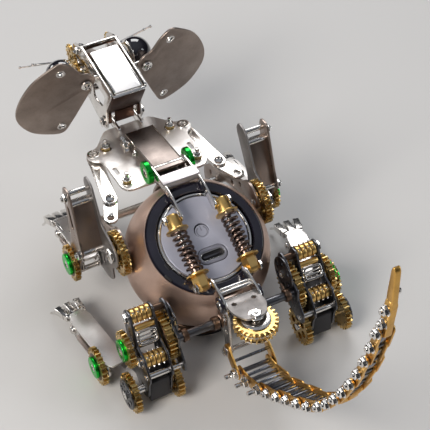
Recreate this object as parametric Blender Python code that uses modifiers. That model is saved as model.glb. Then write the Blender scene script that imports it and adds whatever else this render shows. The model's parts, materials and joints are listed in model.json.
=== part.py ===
"""Steampunk clockwork mouse: a ball loudspeaker carried by bolted metal plates, gears and struts.

Lengths are in millimetres here and become metres where a mesh is made. +X is the mouse's right,
+Y its head, +Z up. The origin is the centre of the flat underside of the belly base.
"""
import math

import bmesh
import bpy
from mathutils import Matrix, Vector

MM = 0.001
CLEARANCE = 0.3            # between two pieces that meet
BORE_CLEARANCE = 0.4       # a bore's radius over its axle's

# Ball loudspeaker
BALL_RADIUS = 25.5
BALL_WALL = 1.6
BALL_LIFT = 1.5            # lowest point of the ball above the floor
CAP_TILT = math.radians(26)
RING_OUTER = 20.2          # black ring round the control cap
RING_INNER = 16.6
RING_DEPTH = 2.9
CAP_RADIUS = 16.3
CAP_THICKNESS = 1.7
CAP_DROP = 0.5             # cap top below the ring's outer edge
BUTTON_RADIUS = 2.45
BUTTON_FORWARD = 2.3
SOCKET_BACK = 6.5
SOCKET_BEZEL = (10.6, 5.6)
SOCKET_SLOT = (8.94, 3.26)
BOARD_RADIUS = 15.0
BOARD_THICKNESS = 1.4
BATTERY_RADIUS = 6.5
BATTERY_LENGTH = 24.0
BATTERY_PAD = 0.92         # foam under the battery's ends
BASE_LIP = 1.07            # belly base's rim beyond the edge of its dish
BASE_STEP = 1.5            # foot of the base inside its rim
BASE_HEIGHT = 6.2

# Sheet metal, rods and gears
SHEET = 0.8
ROD = 1.3
GEAR_MODULE = 0.56
SMALL_TEETH = 24
LARGE_TEETH = 30
OUTER_TEETH = 22
SHOULDER_TEETH = 27
HIP_TEETH = 25
GEAR_THICKNESS = 2.0
RING_WASHER = 3.9          # radius of the anodised ring washers
RING_WASHER_THICKNESS = 1.0
DRUM_RADIUS = 2.5
HEEL_DISC_RADIUS = 5.4

# Struts over the cap
STRUT_SPREAD = 9.2
STRUT_LENGTH = 25.0
STRUT_FORWARD = 8.4
STRUT_RISE = 3.95          # strut axis above the ring's outer edge
CUP_RADIUS = 2.6
CUP_LENGTH = 4.2
FLANGE_RADIUS = 4.0
FLANGE_THICKNESS = 0.6
COIL_RADIUS = 2.5
COIL_WIRE = 0.5
COIL_TURNS = 8
SLEEVE_RADIUS = 1.7
PISTON_RADIUS = 0.9

# Frame
YOKE_HALF_WIDTH = 6.6
STRAP_HALF_WIDTH = 4.5
STRAP_THICKNESS = 1.2
NECK_BOX_HALF_WIDTH = 5.5
NECK_SLOPE = -0.088
PLATE_THICKNESS = 0.9

# Fore legs, at |x|
ARM_THICKNESS = 0.9
SHOULDER_GEAR_THICKNESS = 2.6
FORE_LEG_INSIDE = 7.5      # between the two plates of a fore leg
FORE_PAW_WIDTH = 6.8
PAW_LENGTH = 24.0          # ankle to the front of the channel
TOE_LENGTH = 14.0
FORE_PAW_PITCH = math.radians(-11)

# Hind legs, at |x|
CAGE_INSIDE = 7.4
HIND_PAW_WIDTH = 7.6
HIND_SPLAY = math.radians(7)
SPLAY_GAP = 0.05           # between the splayed foot's wall and the ankle gear's teeth
HIND_GEAR_THICKNESS = 2.6

# Head
HEAD_HALF_WIDTH = 7.0
HEAD_TOP_HALF_WIDTH = 5.4
EAR_THICKNESS = 0.9
EYE_RADIUS = 6.2
SNOUT_RADIUS = 5.4
SNOUT_LENGTH = 22.0

# Tail
TAIL_OUTER = 7.6           # half width of the first pair of tail plates
TAIL_PLATE = 0.7
TAIL_PIN = 0.9

# Anchors that everything else hangs on
MIDDLE = BALL_RADIUS + BALL_LIFT
FRONT = BALL_RADIUS
BACK = -BALL_RADIUS
SIDE = BALL_RADIUS
RIM_HEIGHT = math.sqrt(BALL_RADIUS ** 2 - RING_OUTER ** 2)
CAP_FRAME = Matrix.Translation((0, 0, MIDDLE)) @ Matrix.Rotation(CAP_TILT, 4, "X")
CAP_TOP = RIM_HEIGHT - CAP_DROP
CAP_BOTTOM = CAP_TOP - CAP_THICKNESS
STRUT_HEIGHT = RIM_HEIGHT + STRUT_RISE
STRUT_TOP = CAP_FRAME @ Vector((0, STRUT_FORWARD, STRUT_HEIGHT))
STRUT_BOTTOM = CAP_FRAME @ Vector((0, STRUT_FORWARD - STRUT_LENGTH, STRUT_HEIGHT))

YOKE_PIVOT = Vector((0, FRONT - 3.9, MIDDLE + 22.9))
NECK_MIDDLE = Vector((0, FRONT + 21.1, MIDDLE + 15.05))
HEAD_PIVOT = Vector((0, FRONT + 35.1, MIDDLE + 15.2))
EAR_ROOT = Vector((11.7, FRONT + 37.9, MIDDLE + 32.7))
EAR_NORMAL = Vector((-0.118, 0.969, 0.218)).normalized()
EYE_CENTRE = Vector((14.5, FRONT + 54.5, MIDDLE + 25.0))

ARM_INSIDE = SIDE - 0.9
ARM_OUTSIDE = ARM_INSIDE + ARM_THICKNESS
SHOULDER = Vector((0, FRONT - 21.1, MIDDLE + 8.4))
FORE_LEG_X = ARM_OUTSIDE + SHOULDER_GEAR_THICKNESS + 2 * CLEARANCE
FORE_OUTER_X = FORE_LEG_X + SHEET + FORE_LEG_INSIDE
FORE_ANKLE = Vector((0, FRONT - 6.4, MIDDLE - 4.4))
FORE_PAW_X = FORE_LEG_X + SHEET + FORE_LEG_INSIDE / 2
FORE_GEAR_X = FORE_OUTER_X + SHEET + CLEARANCE
FRONT_AXLE = Vector((0, FRONT + 6.8, MIDDLE - 3.5))

SMALL_PITCH = GEAR_MODULE * SMALL_TEETH / 2
LARGE_PITCH = GEAR_MODULE * LARGE_TEETH / 2
TOOTH_TIP = 0.45
TOOTH_ROOT = 0.7
GEAR_BACKLASH = 0.15
FLOOR_GAP = 0.2
CAGE_INNER_X = SIDE - 3.6
HIND_GEAR_X = CAGE_INNER_X + SHEET + CLEARANCE
CORE_INNER_X = HIND_GEAR_X + HIND_GEAR_THICKNESS + 3 * CLEARANCE
CORE_OUTER_X = CORE_INNER_X + SHEET + CAGE_INSIDE
HIND_OUTER_GEAR_X = CORE_OUTER_X + SHEET + 2.2
HEEL_OUTER_GEAR_X = HIND_OUTER_GEAR_X + 1.2
HEEL = Vector((0, BACK - 5.5, SMALL_PITCH + TOOTH_TIP + FLOOR_GAP))
GEAR_LINE = math.radians(60.5)     # slope of the line from the heel axle up to the cage axle
GEAR_SPACING = SMALL_PITCH + LARGE_PITCH + GEAR_BACKLASH
CAGE = HEEL + GEAR_SPACING * Vector((0, math.cos(GEAR_LINE), math.sin(GEAR_LINE)))
HIND_ANKLE = Vector((0, BACK + 10.5, SMALL_PITCH + FLOOR_GAP))
HIND_PAW_X = CORE_OUTER_X + SHEET + HIND_PAW_WIDTH / 2 + 0.9
ANKLE_TEETH = OUTER_TEETH + 1
ANKLE_GEAR_REACH = GEAR_MODULE * ANKLE_TEETH / 2 + TOOTH_TIP
SPLAYED_EDGE = HIND_PAW_WIDTH / 2 / math.cos(HIND_SPLAY) + ANKLE_GEAR_REACH * math.tan(HIND_SPLAY)
ANKLE_GEAR_X = HIND_PAW_X + SPLAYED_EDGE + SPLAY_GAP
REAR_BAR = Vector((0, BACK - 4.0, MIDDLE - 3.0))
HIP_GEAR = Vector((0, BACK - 17.6, MIDDLE + 5.0))

TAIL_HINGES = [Vector((0, BACK + y, MIDDLE + z)) for y, z in (
    (-11.2, -10.0), (-17.5, -15.0), (-30.3, -10.2), (-47.1, 2.8),
    (-64.5, 19.0), (-79.0, 45.4), (-88.3, 76.4), (-91.0, 102.8))]

COLOURS = {
    "copper_shell": ((0.62, 0.36, 0.26), 0.28, 1.0),
    "black_ring": ((0.01, 0.01, 0.012), 0.1, 0.0),
    "grey_cap": ((0.62, 0.64, 0.68), 0.35, 0.2),
    "bronze_base": ((0.14, 0.08, 0.05), 0.4, 1.0),
    "nickel": ((0.78, 0.76, 0.74), 0.22, 1.0),
    "dark_nickel": ((0.36, 0.31, 0.27), 0.3, 1.0),
    "brass": ((0.72, 0.48, 0.16), 0.25, 1.0),
    "spring_steel": ((0.12, 0.12, 0.14), 0.3, 1.0),
    "black_gloss": ((0.01, 0.01, 0.015), 0.05, 0.0),
    "gold": ((0.75, 0.5, 0.18), 0.3, 1.0),
    "circuit_green": ((0.02, 0.18, 0.07), 0.5, 0.0),
    "battery_wrap": ((0.05, 0.1, 0.35), 0.5, 0.0),
}


def clear_scene():
    for item in list(bpy.data.objects):
        bpy.data.objects.remove(item, do_unlink=True)


def material(name):
    found = bpy.data.materials.get(name)
    if found:
        return found
    colour, roughness, metallic = COLOURS[name]
    made = bpy.data.materials.new(name)
    made.use_nodes = True
    shader = made.node_tree.nodes["Principled BSDF"]
    shader.inputs["Base Color"].default_value = (*colour, 1)
    shader.inputs["Roughness"].default_value = roughness
    shader.inputs["Metallic"].default_value = metallic
    return made


# ---------- solids, made in millimetres and kept in world space ----------

def solid_from_bmesh(mesh_data, frame=Matrix()):
    """A scene object from a bmesh in millimetres, moved by a frame that is also in millimetres."""
    mesh_data.transform(Matrix.Scale(MM, 4) @ frame)
    bmesh.ops.remove_doubles(mesh_data, verts=mesh_data.verts, dist=1e-6)
    bmesh.ops.recalc_face_normals(mesh_data, faces=mesh_data.faces)
    mesh = bpy.data.meshes.new("solid")
    mesh_data.to_mesh(mesh)
    mesh_data.free()
    item = bpy.data.objects.new("solid", mesh)
    bpy.context.scene.collection.objects.link(item)
    return item


def box(low, high, frame=Matrix()):
    data = bmesh.new()
    bmesh.ops.create_cube(data, size=1)
    size = Vector(high) - Vector(low)
    bmesh.ops.scale(data, vec=size, verts=data.verts)
    bmesh.ops.translate(data, vec=(Vector(high) + Vector(low)) / 2, verts=data.verts)
    return solid_from_bmesh(data, frame)


def rod(start, end, radius, sides=8, end_radius=None):
    """A round bar between two points; with end_radius it is a cone."""
    start, end = Vector(start), Vector(end)
    data = bmesh.new()
    bmesh.ops.create_cone(data, cap_ends=True, segments=sides, radius1=radius,
                          radius2=radius if end_radius is None else end_radius,
                          depth=(end - start).length)
    turn = Vector((0, 0, 1)).rotation_difference(end - start).to_matrix().to_4x4()
    return solid_from_bmesh(data, Matrix.Translation((start + end) / 2) @ turn)


def cross_rod(centre, low_x, high_x, radius, sides=8):
    """A bar along X through a point of the side view."""
    return rod((low_x, centre.y, centre.z), (high_x, centre.y, centre.z), radius, sides)


def turned(profile, frame=Matrix(), sides=24, closed=False):
    """A profile of (radius, height) turned about Z by a Screw modifier."""
    data = bmesh.new()
    points = [data.verts.new((radius, 0, height)) for radius, height in profile]
    for first, second in zip(points, points[1:]):
        data.edges.new((first, second))
    if closed:
        data.edges.new((points[-1], points[0]))
    mesh = bpy.data.meshes.new("profile")
    data.to_mesh(mesh)
    data.free()
    item = bpy.data.objects.new("profile", mesh)
    bpy.context.scene.collection.objects.link(item)
    screw = item.modifiers.new("turn", "SCREW")
    screw.steps = screw.render_steps = sides
    screw.use_merge_vertices = True
    screw.merge_threshold = 0.0001
    screw.use_normal_calculate = True
    return reshaped(item, frame)


def reshaped(item, frame=Matrix()):
    """The evaluated mesh of an object in millimetres, as a new solid; the object is removed."""
    depsgraph = bpy.context.evaluated_depsgraph_get()
    mesh = bpy.data.meshes.new_from_object(item.evaluated_get(depsgraph))
    data = bmesh.new()
    data.from_mesh(mesh)
    bmesh.ops.remove_doubles(data, verts=data.verts, dist=0.0005)
    bpy.data.meshes.remove(mesh)
    bpy.data.objects.remove(item, do_unlink=True)
    return solid_from_bmesh(data, frame)


def plate(outline, thickness, frame=Matrix(), holes=(), smooth=0):
    """A flat 2D curve with its holes, extruded to a thickness about the frame's XY plane."""
    curve = bpy.data.curves.new("outline", "CURVE")
    curve.dimensions = "2D"
    curve.fill_mode = "BOTH"
    curve.extrude = thickness / 2
    for points, level in [(outline, smooth)] + [(hole, 0) for hole in holes]:
        spline = curve.splines.new("BEZIER" if level else "POLY")
        if level:
            spline.bezier_points.add(len(points) - 1)
            spline.resolution_u = level
            for knot, (u, v) in zip(spline.bezier_points, points):
                knot.co = (u, v, 0)
                knot.handle_left_type = knot.handle_right_type = "AUTO"
        else:
            spline.points.add(len(points) - 1)
            for knot, (u, v) in zip(spline.points, points):
                knot.co = (u, v, 0, 1)
        spline.use_cyclic_u = True
    item = bpy.data.objects.new("outline", curve)
    bpy.context.scene.collection.objects.link(item)
    return reshaped(item, frame)


def spindle(centre, steps, sides=8):
    """A stepped bar along X: each step is (where it starts, radius), the last one ends the bar."""
    profile = [(0, steps[0][0])]
    for (start, radius), (end, _) in zip(steps, steps[1:]):
        profile += [(radius, start), (radius, end)]
    profile.append((0, steps[-1][0]))
    return turned(profile, plane((0, centre.y, centre.z), (0, 1, 0), (0, 0, 1)), sides)


def side_plane(x):
    """The frame whose U runs along Y and V along Z, at a given X."""
    return Matrix(((0, 0, 1, x), (1, 0, 0, 0), (0, 1, 0, 0), (0, 0, 0, 1)))


def plane(origin, u, v):
    u, v = Vector(u).normalized(), Vector(v).normalized()
    w = u.cross(v)
    return Matrix(((u.x, v.x, w.x, origin[0]), (u.y, v.y, w.y, origin[1]),
                   (u.z, v.z, w.z, origin[2]), (0, 0, 0, 1)))


def ring_points(centre, radius, sides=8):
    return [(centre[0] + radius * math.cos(2 * math.pi * k / sides),
             centre[1] + radius * math.sin(2 * math.pi * k / sides)) for k in range(sides)]


def hole_at(point, radius, sides=8):
    """A hole in a side plate, round a point of the side view."""
    return ring_points((point.y, point.z), radius, sides)


def capsule(start, end, start_radius, end_radius, steps=4):
    """A dog-bone outline round two points."""
    direction = math.atan2(end[1] - start[1], end[0] - start[0])
    points = []
    for centre, radius, first in ((end, end_radius, direction - math.pi / 2),
                                  (start, start_radius, direction + math.pi / 2)):
        for k in range(steps + 1):
            angle = first + math.pi * k / steps
            points.append((centre[0] + radius * math.cos(angle), centre[1] + radius * math.sin(angle)))
    return points


def oval(centre, size, steps=5):
    """A slot outline with round ends, long in U."""
    reach = (size[0] - size[1]) / 2
    return capsule((centre[0] - reach, centre[1]), (centre[0] + reach, centre[1]),
                   size[1] / 2, size[1] / 2, steps)


def gear_outline(teeth, phase=0.0):
    """Pointed teeth round a pitch circle, one of them at the phase angle."""
    pitch = GEAR_MODULE * teeth / 2
    step = 2 * math.pi / teeth
    points = []
    for tooth in range(teeth):
        for share, radius in ((0, pitch + TOOTH_TIP), (0.5, pitch - TOOTH_ROOT)):
            angle = phase + (tooth + share) * step
            points.append((radius * math.cos(angle), radius * math.sin(angle)))
    return points


def side_gear(centre, x, thickness, teeth, bore=0.0, phase=0.0):
    """A gear on an axle along X whose inner face is at x."""
    outline = [(centre.y + u, centre.z + v) for u, v in gear_outline(teeth, phase)]
    holes = [hole_at(centre, bore)] if bore else []
    return plate(outline, thickness, side_plane(x + thickness / 2), holes)


def side_plate(outline, x, thickness, holes=(), anchor=(0, 0)):
    """A plate in the side view, from x outwards, its outline given from an anchor point."""
    moved = [(anchor[0] + u, anchor[1] + v) for u, v in outline]
    return plate(moved, thickness, side_plane(x + thickness / 2), holes)


def combined(target, others, operation="UNION"):
    """The target joined with, or cut by, the other solids, which are removed."""
    for other in others:
        modifier = target.modifiers.new("combine", "BOOLEAN")
        modifier.operation = operation
        modifier.solver = "EXACT"
        modifier.object = other
    bpy.context.view_layer.update()
    depsgraph = bpy.context.evaluated_depsgraph_get()
    mesh = bpy.data.meshes.new_from_object(target.evaluated_get(depsgraph))
    for item in [target, *others]:
        bpy.data.objects.remove(item, do_unlink=True)
    data = bmesh.new()
    data.from_mesh(mesh)
    bpy.data.meshes.remove(mesh)
    bmesh.ops.remove_doubles(data, verts=data.verts, dist=2e-6)
    result = bpy.data.meshes.new("solid")
    data.to_mesh(result)
    data.free()
    item = bpy.data.objects.new("solid", result)
    bpy.context.scene.collection.objects.link(item)
    return item


def cut(target, cutters):
    return combined(target, cutters, "DIFFERENCE")


class Assembly:
    """The collection that the parts go into."""

    def __init__(self, name):
        self.collection = bpy.data.collections.new(name)
        bpy.context.scene.collection.children.link(self.collection)

    def add(self, name, item, finish, origin=(0, 0, 0)):
        """Names a solid, moves its origin to its joint's axis and gives it its material."""
        origin = Vector(origin) * MM
        item.data.transform(Matrix.Translation(-origin))
        item.location = origin
        item.name = item.data.name = name
        item.data.materials.clear()
        item.data.materials.append(material(finish))
        for polygon in item.data.polygons:
            polygon.material_index = 0
        item.data.shade_smooth()
        item.data.set_sharp_from_angle(angle=math.radians(30))
        bpy.context.scene.collection.objects.unlink(item)
        self.collection.objects.link(item)
        return item

    def add_pair(self, name, item, finish, origin=(0, 0, 0)):
        """Adds a right-hand solid and its mirror image on the left."""
        data = bmesh.new()
        data.from_mesh(item.data)
        bmesh.ops.scale(data, vec=(-1, 1, 1), verts=data.verts)
        bmesh.ops.reverse_faces(data, faces=data.faces)
        mesh = bpy.data.meshes.new("mirrored")
        data.to_mesh(mesh)
        data.free()
        twin = bpy.data.objects.new("mirrored", mesh)
        bpy.context.scene.collection.objects.link(twin)
        self.add(name + "_right", item, finish, origin)
        self.add(name + "_left", twin, finish, (-origin[0], origin[1], origin[2]))


# ---------- ball loudspeaker ----------

def sphere_arc(radius, start_angle, end_angle, steps):
    """Profile points on a sphere, angles measured up from the equator."""
    return [(radius * math.cos(start_angle + (end_angle - start_angle) * k / steps),
             radius * math.sin(start_angle + (end_angle - start_angle) * k / steps))
            for k in range(steps + 1)]


def speaker_shell():
    inner_radius = BALL_RADIUS - BALL_WALL
    lip = RING_OUTER + CLEARANCE
    rim = lip + 0.25
    inner = sphere_arc(inner_radius, -math.pi / 2, math.acos(lip / inner_radius), 6)
    outer = sphere_arc(BALL_RADIUS, math.acos(rim / BALL_RADIUS), -math.pi / 2, 9)
    lip_height = outer[0][1] - 0.05
    return turned([(0, inner[0][1])] + inner[1:] + [(lip, lip_height)] + outer[:-1] + [(0, -BALL_RADIUS)],
                  CAP_FRAME, 28)


def speaker_bezel():
    top = RIM_HEIGHT
    section = [(RING_INNER, CAP_TOP + 0.1), (RING_OUTER, top - 0.3), (RING_OUTER, top - RING_DEPTH),
               (RING_INNER, top - RING_DEPTH)]
    return turned(section, CAP_FRAME, 32, closed=True)


def speaker_cap():
    holes = [ring_points((0, BUTTON_FORWARD), BUTTON_RADIUS + CLEARANCE, 20),
             oval((0, -SOCKET_BACK), [side + 2 * CLEARANCE for side in SOCKET_BEZEL])]
    frame = CAP_FRAME @ Matrix.Translation((0, 0, CAP_TOP - CAP_THICKNESS / 2))
    return plate(ring_points((0, 0), CAP_RADIUS - 0.05, 36), CAP_THICKNESS, frame, holes)


def power_button():
    flange = CAP_BOTTOM - CLEARANCE
    profile = [(0, CAP_TOP - 0.1), (BUTTON_RADIUS, CAP_TOP - 0.1), (BUTTON_RADIUS, flange),
               (BUTTON_RADIUS + 0.9, flange), (BUTTON_RADIUS + 0.9, flange - 0.6), (0, flange - 0.6)]
    return turned(profile, CAP_FRAME @ Matrix.Translation((0, BUTTON_FORWARD, 0)), 20)


def usb_socket():
    top = CAP_TOP + 0.15
    floor = CAP_BOTTOM - 0.9
    at_socket = (0, -SOCKET_BACK)
    depth = top - floor
    sleeve = plate(oval(at_socket, SOCKET_BEZEL), depth,
                   CAP_FRAME @ Matrix.Translation((0, 0, (top + floor) / 2)), [oval(at_socket, SOCKET_SLOT)])
    back = box((-4.9, -SOCKET_BACK - 2.2, floor - 0.5), (4.9, -SOCKET_BACK + 2.2, floor + 0.4), CAP_FRAME)
    tongue = box((-3.3, -SOCKET_BACK - 0.35, floor), (3.3, -SOCKET_BACK + 0.35, top - 1.0), CAP_FRAME)
    return combined(sleeve, [back, tongue])


def circuit_board():
    top = CAP_BOTTOM - 0.9 - 0.5 - CLEARANCE
    return plate(ring_points((0, 0), BOARD_RADIUS, 28), BOARD_THICKNESS,
                 CAP_FRAME @ Matrix.Translation((0, 0, top - BOARD_THICKNESS / 2)))


def driver_unit():
    top = CAP_BOTTOM - 3.6
    profile = [(0, top), (17.5, top), (17.5, top - 1.4), (11.5, top - 7.0), (9.0, top - 7.0),
               (9.0, top - 13.5), (0, top - 13.5)]
    return turned(profile, CAP_FRAME, 24)


def battery_cell():
    half = BATTERY_LENGTH / 2
    wall_depth = math.sqrt((BALL_RADIUS - BALL_WALL) ** 2 - half ** 2)
    height = -(wall_depth - BATTERY_RADIUS - BATTERY_PAD)
    return rod(CAP_FRAME @ Vector((-half, 0, height)), CAP_FRAME @ Vector((half, 0, height)),
               BATTERY_RADIUS, 20)


def belly_base():
    seat = BALL_RADIUS + 0.4
    edge = math.sqrt(seat ** 2 - (MIDDLE - BASE_HEIGHT) ** 2)
    dish = [(edge * k / 5, MIDDLE - math.sqrt(seat ** 2 - (edge * k / 5) ** 2)) for k in range(6)]
    rim = edge + BASE_LIP
    foot = rim - BASE_STEP
    profile = dish + [(rim, BASE_HEIGHT), (rim, 3.6), (foot, 2.4), (foot, 0), (0, 0)]
    return turned(profile, sides=28)


# ---------- frame round the ball ----------

def strap(first_angle, last_angle):
    """A band round the ball in the side view."""
    inner, outer = BALL_RADIUS + 0.5, BALL_RADIUS + 0.5 + STRAP_THICKNESS
    steps = 9
    angles = [math.radians(first_angle + (last_angle - first_angle) * k / steps) for k in range(steps + 1)]
    outline = [(outer * math.cos(a), MIDDLE + outer * math.sin(a)) for a in angles]
    outline += [(inner * math.cos(a), MIDDLE + inner * math.sin(a)) for a in reversed(angles)]
    return plate(outline, 2 * STRAP_HALF_WIDTH, side_plane(0))


def strap_foot_angle():
    """Where the strap clears the rim of the belly base."""
    drop = MIDDLE - BASE_HEIGHT - CLEARANCE
    return math.degrees(math.asin(drop / (BALL_RADIUS + 0.5 + STRAP_THICKNESS)))


def spring_yoke():
    """Two arched arms over the ball with a bridge plate, pivot bolt and the struts' upper bolts."""
    inside = YOKE_HALF_WIDTH - SHEET
    eye = (STRUT_TOP.y, STRUT_TOP.z)
    pivot = (YOKE_PIVOT.y, YOKE_PIVOT.z)
    crest = MIDDLE + BALL_RADIUS
    outline = [(eye[0] - 1.7, eye[1] + 1.5), (eye[0] + 5.6, crest - 0.2), (eye[0] + 11.0, crest + 0.5),
               (eye[0] + 15.8, crest + 0.5), (pivot[0] + 0.2, pivot[1] + 2.6), (pivot[0] + 2.6, pivot[1] + 0.6),
               (pivot[0] + 1.6, pivot[1] - 2.2), (pivot[0] - 1.4, pivot[1] - 2.5), (eye[0] + 16.4, crest - 2.9),
               (eye[0] + 11.0, crest - 2.6), (eye[0] + 6.4, crest - 3.5), (eye[0] + 0.8, eye[1] - 1.8),
               (eye[0] - 1.7, eye[1] - 1.4)]
    arms = [side_plate(outline, x, SHEET) for x in (inside, -YOKE_HALF_WIDTH)]
    bridge = box((-YOKE_HALF_WIDTH - 0.3, eye[0] + 11.2, crest + 0.1),
                 (YOKE_HALF_WIDTH + 0.3, eye[0] + 15.9, crest + 0.9))
    near, far = YOKE_HALF_WIDTH + 0.6, YOKE_HALF_WIDTH + 1.6
    pivot_bolt = spindle(YOKE_PIVOT, [(-far - 1, ROD), (-far, RING_WASHER), (-near, ROD), (near, RING_WASHER),
                                      (far, ROD), (far + 1, ROD)], 12)
    extras = [arms[1], bridge, pivot_bolt]
    for side in (-1, 1):
        bolt = sorted((side * (inside + 0.3), side * (STRUT_SPREAD + CUP_RADIUS + 0.9)))
        extras.append(cross_rod(STRUT_TOP, *bolt, PISTON_RADIUS, 8))
    return combined(arms[0], extras)


def rear_frame():
    """Side plates, bracket plate, cross bar, hip-gear bolt, tail pin and the struts' lower bolts."""
    inside = YOKE_HALF_WIDTH - SHEET
    eye = (STRUT_BOTTOM.y - BACK, STRUT_BOTTOM.z - MIDDLE)
    outline = [(eye[0] + 1.7, eye[1] + 1.3), (eye[0] + 1.2, eye[1] - 1.3), (-5.5, 5.6), (-6.5, 0.2),
               (-2.6, -0.4), (-2.0, -2.6), (-2.8, -4.8), (-7.7, -5.2), (-8.9, -10.6), (-11.3, -12.0),
               (-13.5, -9.6), (-12.1, -3.0), (-10.3, 8.6), (-7.9, 10.8), (eye[0] - 0.9, eye[1] + 2.3)]
    arms = [side_plate(outline, x, SHEET, anchor=(BACK, MIDDLE)) for x in (inside, -YOKE_HALF_WIDTH)]
    slope = Vector((0, -1, 0.2)).normalized()
    deck_frame = plane((0, BACK - 6.2, MIDDLE + 8.6), (-1, 0, 0), slope)
    half = YOKE_HALF_WIDTH - 0.3
    deck = plate([(-half, 0), (half, 0), (half, 7.5), (4.0, 12.6), (0, 13.8), (-4.0, 12.6), (-half, 7.5)],
                 PLATE_THICKNESS, deck_frame)
    hip_axis = [deck, rod(HIP_GEAR + Vector((0, 0, -3.6)), HIP_GEAR + Vector((0, 0, 7.2)), ROD - 0.1),
                rod(HIP_GEAR + Vector((0, 0, 6.2)), HIP_GEAR + Vector((0, 0, 7.4)), 2.4, 6),
                rod(HIP_GEAR + Vector((0, 0, -4.0)), HIP_GEAR + Vector((0, 0, -2.9)), 2.4, 6)]
    reach = CAGE_INNER_X - CLEARANCE
    bars = [cross_rod(REAR_BAR, -reach, reach, 1.5), cross_rod(TAIL_HINGES[0], -8.6, 8.6, TAIL_PIN + 0.2)]
    for side in (-1, 1):
        bolt = sorted((side * (inside + 0.3), side * (STRUT_SPREAD + CUP_RADIUS + 0.9)))
        bars.append(cross_rod(STRUT_BOTTOM, *bolt, PISTON_RADIUS, 8))
    return combined(arms[0], [arms[1], *hip_axis, *bars])


def front_axle():
    reach = ARM_INSIDE - CLEARANCE
    return cross_rod(FRONT_AXLE, -reach, reach, 1.6, 16)


def neck_height(y):
    """Height of the sloping neck plate's middle plane."""
    return NECK_MIDDLE.z + NECK_SLOPE * (y - NECK_MIDDLE.y)


def neck_plate():
    """Sloping shoulder plate with its upright bolts, side lugs and the head's pivot lugs."""
    frame = plane(NECK_MIDDLE, (1, 0, 0), (0, 1, NECK_SLOPE))
    half = [(9.0, 10.4), (13.5, 4.6), (15.6, 2.2), (19.0, 2.2), (20.4, -0.6), (19.6, -3.2), (17.0, -5.0),
            (16.5, -7.4), (16.5, -22.4), (14.4, -25.0)]
    outline = half + [(-x, y) for x, y in reversed(half)]
    lugs = [ring_points((side * 17.6, -0.4), 1.2) for side in (-1, 1)]
    slab = plate(outline, PLATE_THICKNESS, frame, lugs)
    extras = []
    for x, y in ((12.6, 0.0), (13.5, -20.6)):
        for side in (-1, 1):
            extras.append(rod(frame @ Vector((side * x, y, 0)), frame @ Vector((side * x, y, 4.4)), 1.8, 6,
                              end_radius=1.2))
    reach = (HEAD_PIVOT.y - NECK_MIDDLE.y, HEAD_PIVOT.z - NECK_MIDDLE.z)
    lug = [(6.0, -1.0), (6.0, 1.9), (reach[0], reach[1] + 2.0), (reach[0] + 1.9, reach[1] + 0.6),
           (reach[0] + 1.6, reach[1] - 1.5), (reach[0] - 1.0, reach[1] - 2.1)]
    for x in (4.0, -4.0 - SHEET):
        extras.append(side_plate(lug, x, SHEET, anchor=(NECK_MIDDLE.y, NECK_MIDDLE.z)))
    extras.append(cross_rod(HEAD_PIVOT, -HEAD_HALF_WIDTH - 1.4, HEAD_HALF_WIDTH + 1.4, ROD))
    return combined(slab, extras)


def neck_box():
    """Folded channel on the neck plate, open below and at both ends."""
    rear, front = YOKE_PIVOT.y - 2.3, NECK_MIDDLE.y - 0.9
    foot = PLATE_THICKNESS / 2 + CLEARANCE + 0.1
    rear_top, front_top = YOKE_PIVOT.z + 1.45, YOKE_PIVOT.z - 2.5
    outline = [(rear, rear_top), (rear, neck_height(rear) + foot), (front, neck_height(front) + foot),
               (front, front_top)]
    block = plate(outline, 2 * NECK_BOX_HALF_WIDTH, side_plane(0))
    inner = [(rear - 1, rear_top - SHEET + 0.16), (rear - 1, neck_height(rear) - 2),
             (front + 1, neck_height(front) - 2), (front + 1, front_top - SHEET - 0.16)]
    hollow = plate(inner, 2 * (NECK_BOX_HALF_WIDTH - SHEET), side_plane(0))
    bore = cross_rod(YOKE_PIVOT, -NECK_BOX_HALF_WIDTH - 1, NECK_BOX_HALF_WIDTH + 1, ROD + BORE_CLEARANCE)
    return cut(block, [hollow, bore])


# ---------- struts ----------

def strut_frame():
    """Z runs from the upper bolt down to the lower one."""
    top = CAP_FRAME @ Vector((STRUT_SPREAD, STRUT_FORWARD, STRUT_HEIGHT))
    along = (STRUT_BOTTOM - STRUT_TOP).normalized()
    return plane(top, (1, 0, 0), along.cross(Vector((1, 0, 0))))


def strut_bore(point):
    return cross_rod(point, STRUT_SPREAD - CUP_RADIUS - 1, STRUT_SPREAD + CUP_RADIUS + 1,
                     PISTON_RADIUS + BORE_CLEARANCE, 8)


def strut_upper():
    cup_end = CUP_LENGTH - 0.3
    coil_start = cup_end + FLANGE_THICKNESS
    piston_end = STRUT_LENGTH * 0.6
    profile = [(0, -1.6), (1.6, -1.6), (CUP_RADIUS, -0.6), (CUP_RADIUS, cup_end), (FLANGE_RADIUS, cup_end),
               (FLANGE_RADIUS, coil_start), (PISTON_RADIUS, coil_start), (PISTON_RADIUS, piston_end),
               (0, piston_end)]
    return cut(turned(profile, strut_frame(), 16), [strut_bore(STRUT_TOP)])


def strut_lower():
    cup_start = STRUT_LENGTH - CUP_LENGTH + 0.3
    coil_end = cup_start - FLANGE_THICKNESS
    sleeve_start = STRUT_LENGTH * 0.46
    bore = PISTON_RADIUS + 0.35
    profile = [(0, coil_end), (bore, coil_end), (bore, sleeve_start), (SLEEVE_RADIUS, sleeve_start),
               (SLEEVE_RADIUS, coil_end - 0.001), (FLANGE_RADIUS, coil_end), (FLANGE_RADIUS, cup_start),
               (CUP_RADIUS, cup_start), (CUP_RADIUS, STRUT_LENGTH + 0.6), (1.6, STRUT_LENGTH + 1.6),
               (0, STRUT_LENGTH + 1.6)]
    return cut(turned(profile, strut_frame(), 16), [strut_bore(STRUT_BOTTOM)])


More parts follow.
